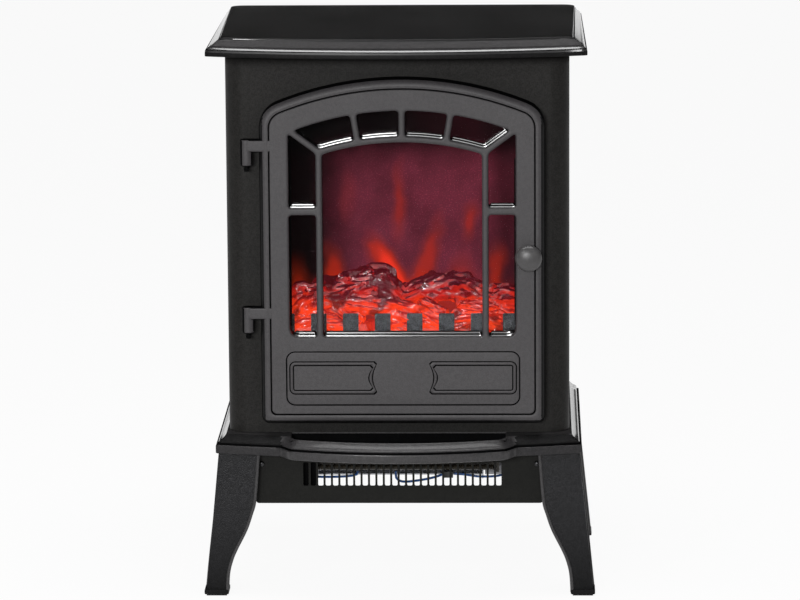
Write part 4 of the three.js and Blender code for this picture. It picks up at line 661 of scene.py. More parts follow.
# the nine lights between the glazing bars, as corner points (across, height, rounding) and a side
def windowLights():
    half, r, slope = door["bar"] / 2, door["round"], door["tilt"]
    ring = door["arcRadius"] - door["ringDown"]
    barX = windowHalf - door["barSide"]
    slantZ = arcZ + math.sqrt(ring ** 2 - barX ** 2) - barX * slope
    lift = half * math.hypot(1, slope)
    near, far = barX - half, barX + half
    top = arcZ + math.sqrt((ring - half) ** 2 - near ** 2)
    main = [(-near, windowZ, r), (near, windowZ, r), (near, top, r),
            *arcBetween((near, top), (-near, top), 40), (-near, top, r)]
    cross = doorHigh.z - door["crossDown"]
    low, high = cross - door["crossHeight"] / 2, cross + door["crossHeight"] / 2
    lower = [(far, windowZ, r), (windowHalf, windowZ, door["windowFoot"]), (windowHalf, low, r),
             (far, low, r)]
    upper = [(far, high, r), (windowHalf, high, r), (windowHalf, slantZ - lift + windowHalf * slope, r),
             (far, slantZ - lift + far * slope, r)]
    fan = door["fan"]
    outer = [fanOnArc(fan, 1, ring + half), lineOnArc(slantZ + lift, slope, ring + half),
             lineOnArc(slantZ + lift, slope, windowRadius), fanOnArc(fan, 1, windowRadius)]
    inner = [fanOnArc(0, 1, ring + half), fanOnArc(fan, -1, ring + half), fanOnArc(fan, -1, windowRadius),
             fanOnArc(0, 1, windowRadius)]
    sides = [lower, upper] + [[a, *arcBetween(a, b, 8), b, c, *arcBetween(c, d, 10), d]
                              for a, b, c, d in (outer, inner)]
    return [(main, 1)] + [(points, side) for side in (-1, 1) for points in sides]


# a light's outline with its corners rounded, on one side of the door
def softOutline(points, side):
    outline = []
    places = [Vector((doorX + side * u, z)) for u, z, _ in points]
    for i, (here, (_, _, r)) in enumerate(zip(places, points)):
        if r == 0:
            outline.append(here)
            continue
        before = here.lerp(places[i - 1], r / (here - places[i - 1]).length)
        following = places[(i + 1) % len(places)]
        after = here.lerp(following, r / (here - following).length)
        for k in range(8):
            t = k / 7
            outline.append(before * (1 - t) ** 2 + here * 2 * t * (1 - t) + after * t * t)
    return outline if side > 0 else outline[::-1]


# an outline moved outward all round
def grownOutline(outline, grow):
    result = []
    for i, point in enumerate(outline):
        run = (outline[(i + 1) % len(outline)] - outline[i - 1]).normalized()
        result.append((point.x + run.y * grow, point.y - run.x * grow))
    return result


# lifts only the sill of a light
def steppedOutline(outline, rise):
    result = []
    for i, point in enumerate(outline):
        run = (outline[(i + 1) % len(outline)] - outline[i - 1]).normalized()
        lift = rise * clamp(min(run.x - sill["flattest"], run.y + sill["steepest"]) / sill["ease"])
        result.append((point.x - run.y * lift, point.y + run.x * lift))
    return result


# steps from the back of the rim round the bead and its groove to the face; the rim's side, the outer part of
# the bead's roll and the groove take black paint as painted shade
def beadSteps():
    bead, roll, hair = door["bead"], door["roll"], 0.0001  # hair: the slope of the groove's walls
    inner = bead - door["groove"]
    plain, deep = faceY + door["setback"], faceY + door["grooveDepth"]
    steps = [(0, doorBack - 0.0008, paintedShadeFace)]
    for i in range(13):
        a = math.pi / 2 * i / 12
        finish = paintedShadeFace if i < 5 else mainFace
        steps.append((roll * (1 - math.cos(a)), faceY + roll * (1 - math.sin(a)), finish))
    return steps + [(inner, plain, mainFace), (inner + hair, deep, paintedShadeFace), (bead - hair, deep, paintedShadeFace),
                    (bead, faceY + 0.0009, paintedShadeFace), (bead + 0.0005, plain, mainFace)]


# one light: a soft edge, the steps of its sill, then straight back to the rebate, where the wall takes black
# paint as painted shade
def addLight(bm, ring, outline, plain, backY, steps):
    soft = door["soft"]
    for i in range(1, 6):
        a = math.pi / 2 * i / 5
        grown = grownOutline(outline, soft * (1 - math.sin(a)))
        ring = growRing(bm, ring, upright(grown, plain + soft * (1 - math.cos(a))))
    for rise, depth, finish in steps:
        ring = growRing(bm, ring, upright(steppedOutline(outline, rise), plain + soft + depth), finish)
    return growRing(bm, ring, upright(steppedOutline(outline, rise), backY), paintedShadeFace)


def addDoorShell(bm):
    outerBack = ringFrom(bm, upright(doorRing(0), doorBack))
    ring = followSteps(bm, outerBack, doorRing, beadSteps(), 0)
    plain, rebateY, floorY = (faceY + door[key] for key in ("setback", "barDepth", "skin"))
    outlines = [softOutline(*light) for light in windowLights()]
    holes = [ringFrom(bm, upright(grownOutline(outline, door["soft"]), plain)) for outline in outlines]
    fieldRing = ringFrom(bm, upright(fieldOutline(0), plain))
    fillBetween(bm, ring, fieldRing, *holes)
    lowest = min(point.y for outline in outlines for point in outline)
    backs = []
    for outline, hole in zip(outlines, holes):
        low = min(point.y for point in outline) < lowest + sill["lowBand"]
        backs.append(addLight(bm, hole, outline, plain, rebateY, sill["lowSteps" if low else "steps"]))
    inner = ringFrom(bm, upright(windowRing(door["rebate"]), rebateY))
    fillBetween(bm, inner, *backs)
    collar = door["rebate"] + door["wall"]
    for grow, y in ((door["rebate"], doorBack), (collar, doorBack), (collar, floorY)):
        inner = growRing(bm, inner, upright(windowRing(grow), y))
    wall = outerBack
    for y in (doorBack, floorY):
        wall = growRing(bm, wall, upright(doorRing(door["wall"]), y))
    fillBetween(bm, wall, inner)
    addField(bm, fieldRing, plain)


def fieldOutline(inset):
    half = doorHalf - field["margin"] - inset
    low = doorLow.z + field["up"] + inset
    return roundedOutline(doorX - half, doorX + half, low, low + field["height"] - 2 * inset,
                          field["corner"] - inset, 10)


# a fine cut round the field, then both plaques inside it
def addField(bm, ring, plain):
    ring = followSteps(bm, ring, fieldOutline, field["steps"], plain)
    outers = [ringFrom(bm, upright(plaqueOutline(side, 0), plain)) for side in (-1, 1)]
    fillBetween(bm, ring, *outers)
    for side, outer in zip((-1, 1), outers):
        last = followSteps(bm, outer, lambda inset: plaqueOutline(side, inset), plaque["steps"], plain)
        closeRing(bm, last)


# raised line round each plaque, with a hollow inner side
def plaqueOutline(side, inset):
    inner = plaque["inner"] + inset
    outer = doorHalf - field["margin"] - plaque["side"] - inset
    low = doorLow.z + field["up"] + plaque["low"] + inset
    high = doorLow.z + field["up"] + field["height"] - plaque["high"] - inset
    r, nick = max(plaque["corner"] - inset, 0.001), plaque["nick"]
    points = arcPoints(outer - r, low + r, r, -math.pi / 2, 0, 8)
    points += arcPoints(outer - r, high - r, r, 0, math.pi / 2, 8)
    points += [(inner + nick, high), (inner, high - nick)]
    middle, reach = (low + high) / 2, (high - low) / 2 - nick
    for t in [0.92 - i * 0.115 for i in range(17)]:
        points.append((inner + plaque["waist"] * math.cos(math.pi / 2 * t), middle + t * reach))
    points += [(inner, low + nick), (inner + nick, low)]
    return [(doorX + side * u, z) for u, z in (points if side > 0 else reversed(points))]


def addHingeArm(bm, low):
    x = doorX - doorHalf - hinge["out"]
    r, tall = hinge["radius"], hinge["knuckle"]
    profile = [(0.0012, 0), (r - 0.0022, 0), (r - 0.0010, 0.0005), (r - 0.0003, 0.0013), (r, 0.0026),
               (r, tall - 0.0012), (r - 0.0004, tall - 0.0004), (r - 0.0014, tall), (0.0, tall)]
    addTurned(bm, (x, faceY + r, low), (0, 0, 1), profile, 40)
    top = low + tall
    corner = (doorX - doorHalf + door["bead"] + hinge["lap"], faceY + 2 * r, top)
    verts = addBlock(bm, (x, faceY + hinge["setback"], top - hinge["armHeight"]), corner)
    edges = [edge for vert in verts for edge in vert.link_edges]
    roundEdges(bm, [e for e in edges if abs((e.verts[0].co - e.verts[1].co).normalized().x) > 0.9],
               hinge["round"], 5)


# painted shadow on the edges of the hinge arms, painted shade on the flanks of the bead
def shadeDoor(bm):
    left, right, up = hinge["shadowTurns"]
    bmesh.ops.recalc_face_normals(bm, faces=bm.faces)
    for face in bm.faces:
        middle, way = face.calc_center_median(), face.normal
        outer = abs(middle.x - doorX) > doorHalf - door["flank"] or middle.z < doorLow.z + door["flank"]
        if face.material_index != mainFace:
            continue
        if middle.x < doorX - doorHalf + door["setback"]:
            if way.x < -left or way.x > right or abs(way.z) > up:
                face.material_index = paintedShadeFace
        elif outer and middle.y < faceY + door["flankDepth"]:
            face.material_index = shadedFace


bm = bmesh.new()
addDoorShell(bm)
addHingeArm(bm, doorLow.z + hinge["up"])
addHingeArm(bm, doorHigh.z - hinge["down"])
strikeLow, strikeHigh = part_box("strike_plate")
addBlock(bm, (strikeLow.x, faceY + strike["front"], strikeLow.z + strike["ends"]),
         (strikeHigh.x, strikeLow.y - strike["behind"], strikeHigh.z - strike["ends"]))
shadeDoor(bm)
addPiece("doorCasting", bm, "door", [doorPaint, *sharedPaints], ("door_frame",), 32)
print("door ready")

# turned knob
knob = dict(behind=0.0003,
            profile=[(0.0, 0.0153), (0.0045, 0.0151), (0.0085, 0.0143), (0.0110, 0.0128), (0.0123, 0.0114),
                     (0.0129, 0.0100), (0.0130, 0.0088), (0.0127, 0.0078), (0.0118, 0.0070), (0.0100, 0.0064),
                     (0.0070, 0.0060), (0.0060, 0.0052), (0.0057, 0.0030), (0.0062, 0.0003), (0.0, 0.0003)])
knobLow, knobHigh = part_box("door_knob")
bm = bmesh.new()
knobFoot = ((knobLow.x + knobHigh.x) / 2, knobHigh.y + knob["behind"], (knobLow.z + knobHigh.z) / 2)
addTurned(bm, knobFoot, (0, -1, 0), knob["profile"], 64)
addPiece("doorKnob", bm, "door", [knobPaint], ("door_knob",), 40)

# lid; edge: height and inset of each ring, finish: of the band below each ring after the first
lid = dict(taper=0.0026, bow=0.026, bowFade=0.05, corner=0.0012, cornerGain=0.010, cornerRun=0.012,
           nip=0.0008,
           edge=[(0.0, 0.0006), (0.0004, 0.0001), (0.0010, 0.0), (0.0038, 0.0), (0.0042, 0.0001),
                 (0.0060, 0.00037), (0.0063, 0.0008), (0.0062, 0.0013), (0.0067, 0.0017), (0.0077, 0.0023),
                 (0.0088, 0.0034), (0.0096, 0.0048), (0.0104, 0.0064), (0.0147, 0.0120), (0.0149, 0.0126),
                 (0.0146, 0.0130), (0.0150, 0.0136), (0.0162, 0.0138), (0.0168, 0.0143), (0.0170, 0.0151)],
           # the upright face under the nose takes the shaded paint, and the two grooves black paint: painted
           # shade
           finish=[shadedFace] * 4 + [polishedFace] + [paintedShadeFace] * 3 + [polishedFace] * 3 + [mainFace] * 2
           + [polishedFace] + [paintedShadeFace] * 2 + [polishedFace] + [extraFace] * 2,
           fieldFrom=0.0163, strip=dict(side=0.0165, up=0.001, ahead=0.012, behind=0.02))
lidLow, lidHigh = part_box("top_lid")


def lidOutline(inset):
    half, back = lidHigh.x - inset, lidHigh.y - inset
    bow = lid["bow"] * (1 - inset / lid["bowFade"])
    ends = lidLow.y + lid["bow"] + inset
    radius = (half * half + bow * bow) / (2 * bow)
    angle = math.asin(half / radius)
    r = lid["corner"] + lid["cornerGain"] * min(1, inset / lid["cornerRun"])
    front = arcPoints(0, ends + radius - bow, radius, -math.pi / 2 - angle, -math.pi / 2 + angle, 64)
    front[0] = (front[0][0] + lid["nip"], front[0][1])
    front[-1] = (front[-1][0] - lid["nip"], front[-1][1])
    right = [(half, ends + 0.001)] + linePoints((half, ends), (half, back - r), 12)
    rear = arcPoints(half - r, back - r, r, 0, math.pi / 2, 8)
    rear += linePoints((half - r, back), (r - half, back), 12)
    rear += arcPoints(r - half, back - r, r, math.pi / 2, math.pi, 8)
    left = linePoints((-half, back - r), (-half, ends), 12) + [(-half, ends + 0.001)]
    tapered = []
    for x, y in front + right + rear + left:
        t = clamp((y - ends) / (back - ends))
        tapered.append((x * (lidHigh.x - inset * (1 - 0.5 * t) - lid["taper"] * t) / half, y))
    return tapered


# the top field's own paint, and a polished strip along each side
def shadeLid(bm):
    strip = lid["strip"]
    nearest, farthest = lidLow.y + lid["bow"] + strip["ahead"], lidHigh.y - strip["behind"]
    for face in bm.faces:
        middle = face.calc_center_median()
        atSide = abs(middle.x) > lidHigh.x - strip["side"] and middle.z > lidLow.z + strip["up"]
        if middle.z > lidLow.z + lid["fieldFrom"]:
            face.material_index = extraFace
        elif face.material_index == mainFace and atSide and nearest < middle.y < farthest:
            face.material_index = polishedFace


bm = bmesh.new()
ring = lidBottom = ringFrom(bm, level(lidOutline(lid["edge"][0][1]), lidLow.z))
for (height, inset), finish in zip(lid["edge"][1:], lid["finish"]):
    ring = growRing(bm, ring, level(lidOutline(inset), lidLow.z + height), finish)
fillBetween(bm, ring)
fillBetween(bm, lidBottom)
shadeLid(bm)
addPiece("lidCasting", bm, "cabinet", [castPaint, *sharedPaints, lidFieldPaint],
         ("top_lid",), 50)

# front panel: one bent sheet with the fire opening and the control opening
panel = dict(corner=0.020, mouthSide=0.014, mouthLow=0.0094, mouthTop=0.012, mouthCorner=0.004,
             lap=(0.008, 0.006), hatchCorner=0.003)
recessLow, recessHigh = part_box("control_panel")


def addPanelSkin(bm):
    r = panel["corner"]
    flat = panelHigh.x - r
    z0, z1 = panelLow.z, panelHigh.z
    sheet = ringFrom(bm, upright([(-flat, z0), (flat, z0), (flat, z1), (-flat, z1)], frontY))
    arch = archOutline(doorX, arcZ, doorHalf - panel["mouthSide"], windowZ - panel["mouthLow"],
                       windowRadius + panel["mouthTop"], panel["mouthCorner"], panel["mouthCorner"])
    mouth = ringFrom(bm, upright(arch, frontY))
    lapX, lapZ = panel["lap"]
    hole = roundedOutline(recessLow.x + lapX, recessHigh.x - lapX, recessLow.z + lapZ, recessHigh.z - lapZ,
                          panel["hatchCorner"])
    hatch = ringFrom(bm, upright(hole, frontY))
    fillBetween(bm, sheet, mouth, hatch)
    bend = [(flat + r * math.sin(a), frontY + r * (1 - math.cos(a)))
            for a in [math.pi / 2 * i / 12 for i in range(1, 13)]]
    for side, pair in ((1, (sheet[1], sheet[2])), (-1, (sheet[3], sheet[0]))):
        edge = bm.edges.get(pair)
        for x, y in bend + [(flat + r, panelHigh.y)]:
            made = bmesh.ops.extrude_edge_only(bm, edges=[edge])["geom"]
            for vert in (v for v in made if isinstance(v, bmesh.types.BMVert)):
                vert.co.x, vert.co.y = side * x, y
            edge = next(e for e in made if isinstance(e, bmesh.types.BMEdge)
                        and all(v in made for v in e.verts))


bm = bmesh.new()
addPanelSkin(bm)
addPiece("frontPanel", bm, "cabinet", [panelPaint], ("front_panel",), 40)
print("lid and front panel ready")

# base casting with the ash recess
base = dict(reach=0.0125, bow=0.024, lipReach=0.061, lipBow=0.020, lipHalf=0.111, shoulder=0.007,
            recess=0.1045, rim=0.0122, recessFloor=0.0025, recessBack=0.001, gap=0.0003, height=0.0185,
            roof=0.004,
            edge=[(0.0, 0.0016), (0.0006, 0.0005), (0.0014, 0.0), (0.0076, 0.0), (0.0085, 0.0003),
                  (0.0088, 0.0009), (0.0089, 0.0032), (0.0104, 0.0034), (0.0105, 0.0028), (0.0110, 0.0025),
                  (0.0117, 0.0028), (0.0124, 0.0036), (0.0131, 0.0047), (0.0138, 0.0058), (0.0165, 0.0086),
                  (0.0178, 0.0095), (0.0184, 0.0102), (0.0185, 0.0110)],
            paintedShadeRings=(5, 6, 7), beside=0.003, grooveTop=0.0104, noseTop=0.0084, sideStrip=0.0112,
            sideFrom=0.006, recessSteps=[(-0.0012, 0.0), (-0.0004, 0.0003), (0.0, 0.0012)],
            recessWall=dict(side=0.0001, back=0.0012, low=0.002, high=0.0008, front=0.0118),
            lug=dict(half=0.0044, front=0.0034, back=0.0084, below=0.003))
# hollows underneath, between the ribs: x range, y range
pockets = [(span, (-0.088, 0.1345)) for span in ((-0.130, -0.104), (-0.077, 0.077), (0.104, 0.130))]
pockets += [(span, (-0.048, 0.1045)) for span in ((-0.168, -0.136), (0.136, 0.168))]
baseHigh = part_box("base_plinth")[1]
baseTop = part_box("left_side_panel")[0].z - base["gap"]
baseBottom = baseTop - base["height"]
baseHalf = baseHigh.x
lugs = [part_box("apron_screw_left"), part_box("apron_screw_right")]


def frontLine(x):
    plain = frontY - base["reach"] - base["bow"] * (1 - (x / baseHalf) ** 2)
    lip = frontY - base["lipReach"] + base["lipBow"] * (x / base["lipHalf"]) ** 2
    t = clamp((abs(x) - base["lipHalf"] + base["shoulder"]) / (2 * base["shoulder"]))
    ease = t * t * (3 - 2 * t)
    return lip + (plain - lip) * ease


def baseOutline(inset):
    span = [baseHalf * (2 * i / 150 - 1) for i in range(151)]
    points = [(x, frontLine(x)) for x in span]
    ahead, back = points[0][1], baseHigh.y
    points += [(baseHalf, points[150][1] + (back - points[150][1]) * i / 10) for i in range(1, 11)]
    points += [(baseHalf * (1 - 2 * i / 20), back) for i in range(1, 21)]
    points += [(-baseHalf, back + (ahead - back) * i / 10) for i in range(1, 10)]
    low = frontY - base["lipReach"]
    middle, half = (low + back) / 2, (back - low) / 2
    return [(x * (1 - inset / baseHalf), middle + (y - middle) * (1 - inset / half)) for x, y in points]


def recessOutline(inset):
    half, back = base["recess"] - inset, frontY + base["recessBack"]
    span = [half * (2 * i / 60 - 1) for i in range(61)]
    points = [(x, frontLine(x) + base["rim"] + inset) for x in span]
    points += linePoints(points[-1], (half, back), 6) + [(half, back)]
    points += linePoints((half, back), (-half, back), 20) + [(-half, back)]
    return points + linePoints((-half, back), points[0], 6)


def addBaseShell(bm):
    ring = bottom = ringFrom(bm, level(baseOutline(base["edge"][0][1]), baseBottom))
    # the rings round the groove under the nose take black paint: painted shade
    for i, (height, inset) in enumerate(base["edge"][1:]):
        finish = paintedShadeFace if i in base["paintedShadeRings"] else mainFace
        ring = growRing(bm, ring, level(baseOutline(inset), baseBottom + height), finish)
    (inset, drop), *steps = base["recessSteps"]
    recess = ringFrom(bm, level(recessOutline(inset), baseTop - drop))
    fillBetween(bm, ring, recess)
    for inset, drop in steps:
        recess = growRing(bm, recess, level(recessOutline(inset), baseTop - drop))
    closeRing(bm, growRing(bm, recess, level(recessOutline(0.0), baseBottom + base["recessFloor"])))
    return bottom


# painted shade in the recess, polished sides, and painted shade beside the lip, both on the bevel and under
# the groove
def shadeBase(bm):
    wall = base["recessWall"]
    lowest, highest = baseBottom + wall["low"], baseTop - wall["high"]
    for face in bm.faces:
        middle = face.calc_center_median()
        across = abs(middle.x)
        beside = across > base["lipHalf"] + base["beside"]
        inside = across < base["recess"] + wall["side"] and middle.y < frontY + wall["back"]
        between = lowest < middle.z < highest and middle.y > frontLine(middle.x) + wall["front"]
        if inside and between and len(face.verts) < 5:
            face.material_index = paintedShadeFace
        elif face.material_index != mainFace:
            continue
        elif baseBottom + base["grooveTop"] < middle.z < baseTop - 0.00005:
            if across > baseHalf - base["sideStrip"] and middle.y > frontY - base["sideFrom"]:
                face.material_index = polishedFace
            elif beside and middle.y < frontY:
                face.material_index = shadedFace
        elif beside and middle.z < baseBottom + base["noseTop"]:
            face.material_index = extraFace


def addPockets(bm, bottom):
    outlines = [roundedOutline(*xRange, *yRange, 0.002, 3) for xRange, yRange in pockets]
    holes = [ringFrom(bm, level(outline, baseBottom)) for outline in outlines]
    fillBetween(bm, bottom, *holes)
    for outline, hole in zip(outlines, holes):
        closeRing(bm, growRing(bm, hole, level(outline, baseTop - base["roof"])))


# a lug behind each screw of the outlet
def addLugs(bm):
    lug = base["lug"]
    for low, high in lugs:
        middle = (low.x + high.x) / 2
        addBlock(bm, (middle - lug["half"], low.y + lug["front"], low.z - lug["below"]),
                 (middle + lug["half"], low.y + lug["back"], baseBottom + 0.001))


bm = bmesh.new()
baseRing = addBaseShell(bm)
shadeBase(bm)
addPockets(bm, baseRing)
addLugs(bm)
addPiece("baseCasting", bm, "cabinet", [castPaint, *sharedPaints, nosePaint],
         ("base_plinth",), 45)
print("base ready")

# legs; edge: width in millimetres at each share of the height
leg = dict(edge=[(40.2, 0), (41, 0.33), (38.6, 0.446), (34.6, 0.561), (27, 0.698), (23.6, 0.777),
                 (21.8, 0.87), (22.4, 1)],
           wall=0.004, rim=0.0017, rimSides=10, rimFlat=0.85, footWidth=0.024, footHeight=0.005,
           footRound=0.0012, proud=0.002, splay=0.0135, splayY=0.004, shelf=(0.001, 0.028), cornerIn=0.0025,
           cornerOut=0.008, rearIn=0.006)


def smoothCurve(points, count):
    padded = [points[0]] + points + [points[-1]]
    result = []
    for i in range(len(points) - 1):
        p0, p1, p2, p3 = (Vector(p) for p in padded[i:i + 4])
        for k in range(count):
            t = k / count
            result.append(0.5 * ((2 * p1) + (p2 - p0) * t + (2 * p0 - 5 * p1 + 4 * p2 - p3) * t * t
                                 + (3 * p1 - p0 - 3 * p2 + p3) * t ** 3))
    return result + [Vector(points[-1])]


def addLegPlate(bm, edge, across):
    # across turns (width, out, height) into the frame of one face
    drop = edge[-1][1]
    outline = [Vector((0, 0)), Vector((0, drop))] + list(reversed(edge))
    ring = ringFrom(bm, [across(w, 0.0, z) for w, z in outline])
    fillBetween(bm, ring)
    back = growRing(bm, ring, [across(w, leg["wall"], z) for w, z in outline])
    fillBetween(bm, back)
    r, count = leg["rim"], leg["rimSides"]
    ring = None
    for i, point in enumerate(edge):
        before, after = edge[max(i - 1, 0)], edge[min(i + 1, len(edge) - 1)]
        run = (after - before).normalized()
        places = []
        for k in range(count):
            a = 2 * math.pi * k / count
            off = r - 0.0001 + r * math.cos(a)
            out = -0.0002 + r * leg["rimFlat"] * math.sin(a)
            places.append(across(point.x + run.y * off, out, point.y - run.x * off))
        if ring is None:
            ring = ringFrom(bm, places)
            closeRing(bm, ring)
        else:
            ring = growRing(bm, ring, places, 1)
    closeRing(bm, ring)


def addLeg(corner, sx, sy):
    legLow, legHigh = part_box("leg_" + corner)
    top, bottom = legHigh.z, legLow.z
    wall, footHeight = leg["wall"], leg["footHeight"]
    drop = top - bottom - footHeight / 2
    edge = smoothCurve([(w / 1000, -share * drop) for w, share in leg["edge"]], 8)
    bm = bmesh.new()
    addLegPlate(bm, edge, lambda w, out, z: Vector((w, out, z)))
    addLegPlate(bm, edge, lambda w, out, z: Vector((out, w, z)))
    near, far = -leg["proud"], leg["footWidth"] - leg["proud"]
    foot = addBlock(bm, (near, near, bottom - top), (far, far, bottom - top + footHeight))
    roundEdges(bm, [e for v in foot for e in v.link_edges], leg["footRound"], 3)
    near, far = leg["shelf"]
    addBlock(bm, (near, near, -wall), (far, far, 0))
    reach = drop - wall - footHeight / 2
    cornerX = baseHigh.x - leg["cornerIn"]
    cornerY = frontY - leg["cornerOut"] if sy < 0 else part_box("back_panel")[1].y - leg["rearIn"]
    for vert in bm.verts:
        fall = min(1, max(0, -wall - vert.co.z) / reach)
        x = vert.co.x - leg["splay"] * fall
        y = vert.co.y - leg["splayY"] * fall
        vert.co = Vector((sx * (cornerX - x), cornerY - sy * y, vert.co.z + top))
    # the rim round the leg's inner edge takes the lighter cast paint: a painted highlight
    addPiece("leg_" + corner + "_casting", bm, "cabinet", [legPaint, castPaint],
             ("leg_" + corner,), 40, 0.0005)


# side, then front or back
corners = dict(front_left=(-1, -1), front_right=(1, -1), rear_left=(-1, 1), rear_right=(1, 1))
for corner, (sx, sy) in corners.items():
    addLeg(corner, sx, sy)
print("legs ready")

# heater apron: slotted front, side walls
apron = dict(sheet=0.0012, corner=0.003, count=27, pitch=0.00728, slot=0.0052, slotRound=0.0014, top=0.0117,
             bottom=0.0352, shift=0.003, hole=0.0019,
             bracket=dict(left=-0.0965, right=-0.0800, front=0.0085, back=0.0095, low=0.004, high=0.0015))
heaterLow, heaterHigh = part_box("heater_box")


def apronCuts():
    half, low, high = apron["slot"] / 2, heaterHigh.z - apron["bottom"], heaterHigh.z - apron["top"]
    cuts = []
    for i in range(apron["count"]):
        x = apron["shift"] + (i - (apron["count"] - 1) / 2) * apron["pitch"]
        cuts.append(roundedOutline(x - half, x + half, low, high, apron["slotRound"], 3))
    for first, second in lugs:
        x, z = (first.x + second.x) / 2, (first.z + second.z) / 2
        cuts.append(arcPoints(x, z, apron["hole"], 0, 2 * math.pi, 16)[:-1])
    return cuts


def addApron(bm):
    y, t, corner = heaterLow.y, apron["sheet"], apron["corner"]
    outline = [(heaterLow.x, heaterHigh.z)]
    outline += arcPoints(heaterLow.x + corner, heaterLow.z + corner, corner, math.pi, 1.5 * math.pi, 5)
    outline += arcPoints(heaterHigh.x - corner, heaterLow.z + corner, corner, -math.pi / 2, 0, 5)
    outline += [(heaterHigh.x, heaterHigh.z)]
    cuts = apronCuts()
    sheet = ringFrom(bm, upright(outline, y))
    rings = [ringFrom(bm, upright(cut, y)) for cut in cuts]
    fillBetween(bm, sheet, *rings)
    outer = growRing(bm, sheet, upright(outline, y + t))
    backs = [growRing(bm, ring, upright(cut, y + t)) for ring, cut in zip(rings, cuts)]
    fillBetween(bm, outer, *backs)
    spot = apron["bracket"]
    bracket = addBlock(bm, (spot["left"], y + spot["front"], heaterLow.z + spot["low"]),
                       (spot["right"], y + spot["back"], heaterHigh.z - spot["high"]))
    for face in {f for v in bracket for f in v.link_faces}:
        face.material_index = 1
    addSidePlates(bm, heaterHigh.x, t, (y + t * 0.5, heaterLow.z + corner), (heaterHigh.y, heaterHigh.z))


bm = bmesh.new()
addApron(bm)
addPiece("heaterApron", bm, "cabinet", [apronPaint, blackPaintAndShade], ("heater_box",), 40,
         0.0004)

# heating element: board with wound rods on its front
element = dict(rods=3, board=0.002, sides=0.003, rod=0.0022, wire=0.0007, pitch=0.0021, inset=0.004)
elementLow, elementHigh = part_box("heating_element")
bm = bmesh.new()
addBlock(bm, (elementLow.x, elementHigh.y - element["board"], elementLow.z), elementHigh)
addSidePlates(bm, elementHigh.x, element["sides"], (elementLow.y, elementLow.z),
              (elementHigh.y, elementHigh.z))
turns = int((elementHigh.x - elementLow.x - 2 * element["inset"]) / element["pitch"])
winding = [(element["rod"] + element["wire"] * (k % 2), element["pitch"] * k / 2) for k in range(turns * 2)]
winding = [(0.0, 0.0)] + winding + [(0.0, element["pitch"] * turns)]
for i in range(element["rods"]):
    z = elementLow.z + (elementHigh.z - elementLow.z) * (i + 0.5) / element["rods"]
    start = (elementLow.x + element["inset"], elementLow.y + element["inset"], z)
    addTurned(bm, start, (1, 0, 0), winding, 10)
addPiece("elementBoard", bm, "cabinet", [micaBoard], ("heating_element",), 40)

# dome screws
screw = dict(dome=0.0019, profile=[(0.0, 0.0019), (0.0012, 0.0018), (0.0022, 0.0014), (0.0028, 0.0008),
                                   (0.0030, 0.0002), (0.0029, 0.0), (0.0016, 0.0), (0.0016, -0.006),
                                   (0.0, -0.006)])
for name in ("apron_screw_left", "apron_screw_right"):
    low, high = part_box(name)
    centre = Vector(((low.x + high.x) / 2, low.y + screw["dome"], (low.z + high.z) / 2))
    bm = bmesh.new()
    addTurned(bm, centre, (0, -1, 0), screw["profile"], 28)
    addPiece(name + "_dome", bm, "cabinet", [darkSteel], (name,), 40)

# fret tabs
fret = dict(tabs=8, tab=0.0153, rail=0.006, foot=0.0015, sheet=0.0015, corner=0.0012)
fretLow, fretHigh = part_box("fret")


def fretOutline():
    r, last = fret["corner"], fret["tabs"] - 1
    pitch = (fretHigh.x - fretLow.x - fret["tab"]) / last
    points = [(fretLow.x, fretLow.z), (fretHigh.x, fretLow.z)]
    for i in reversed(range(fret["tabs"])):
        left = fretLow.x + i * pitch
        right = left + fret["tab"]
        if i < last:
            points.append((right, fretLow.z + fret["rail"]))
        points += arcPoints(right - r, fretHigh.z - r, r, 0, math.pi / 2, 3)
        points += arcPoints(left + r, fretHigh.z - r, r, math.pi / 2, math.pi, 3)
        if i > 0:
            points.append((left, fretLow.z + fret["rail"]))
    return points


bm = bmesh.new()
ring = ringFrom(bm, upright(fretOutline(), fretLow.y))
fillBetween(bm, ring)
fillBetween(bm, growRing(bm, ring, upright(fretOutline(), fretLow.y + fret["sheet"])))
addBlock(bm, (fretLow.x, fretLow.y + 0.001, fretLow.z), (fretHigh.x, fretHigh.y, fretLow.z + fret["foot"]))
addPiece("fretStrip", bm, "cabinet", [fretPaint], ("fret",), 40, 0.0003)

# logs: middle line (x, depth in the bed, height over the hearth) and radius, in millimetres
logs = [
    dict(line=[(-117, 19, 10, 13), (-93, 19, 32, 15), (-54, 19, 45, 14), (-24, 17, 57, 12)], seed=1),
    dict(line=[(-38, 24, 47, 11), (-17, 22, 50, 14.5), (3, 20, 30, 12)], seed=2),
    dict(line=[(-54, 10, 36, 7), (-20, 10, 30, 10.5), (16, 10, 21, 11), (46, 11, 12, 9)], seed=3),
    dict(line=[(4, 22, 36, 9), (24, 21, 45, 12.5), (58, 21, 46.5, 13.5), (92, 22, 33, 13), (117, 21, 24, 11)],
         seed=4),
    dict(line=[(84, 24, 33, 10), (103, 20, 38.5, 12), (119, 20, 36, 10)], seed=5),
    dict(line=[(-115, 10, 10, 10), (-82, 10, 17, 10), (-48, 10, 10, 10)], seed=6),
    dict(line=[(46, 10, 12, 10), (80, 10, 18, 11), (116, 10, 10, 10)], seed=7),
    dict(line=[(-12, 10, 12, 9), (20, 10, 5, 9)], seed=8),
    dict(line=[(-66, 15, 28, 9), (-40, 11, 10, 9)], seed=9),
    dict(line=[(60, 12, 27, 8), (96, 13, 24, 9)], seed=10),
    dict(line=[(-100, 14, 22, 7), (-70, 12, 8, 8)], seed=11),
    dict(line=[(22, 14, 33, 7), (44, 11, 20, 8)], seed=12),
]
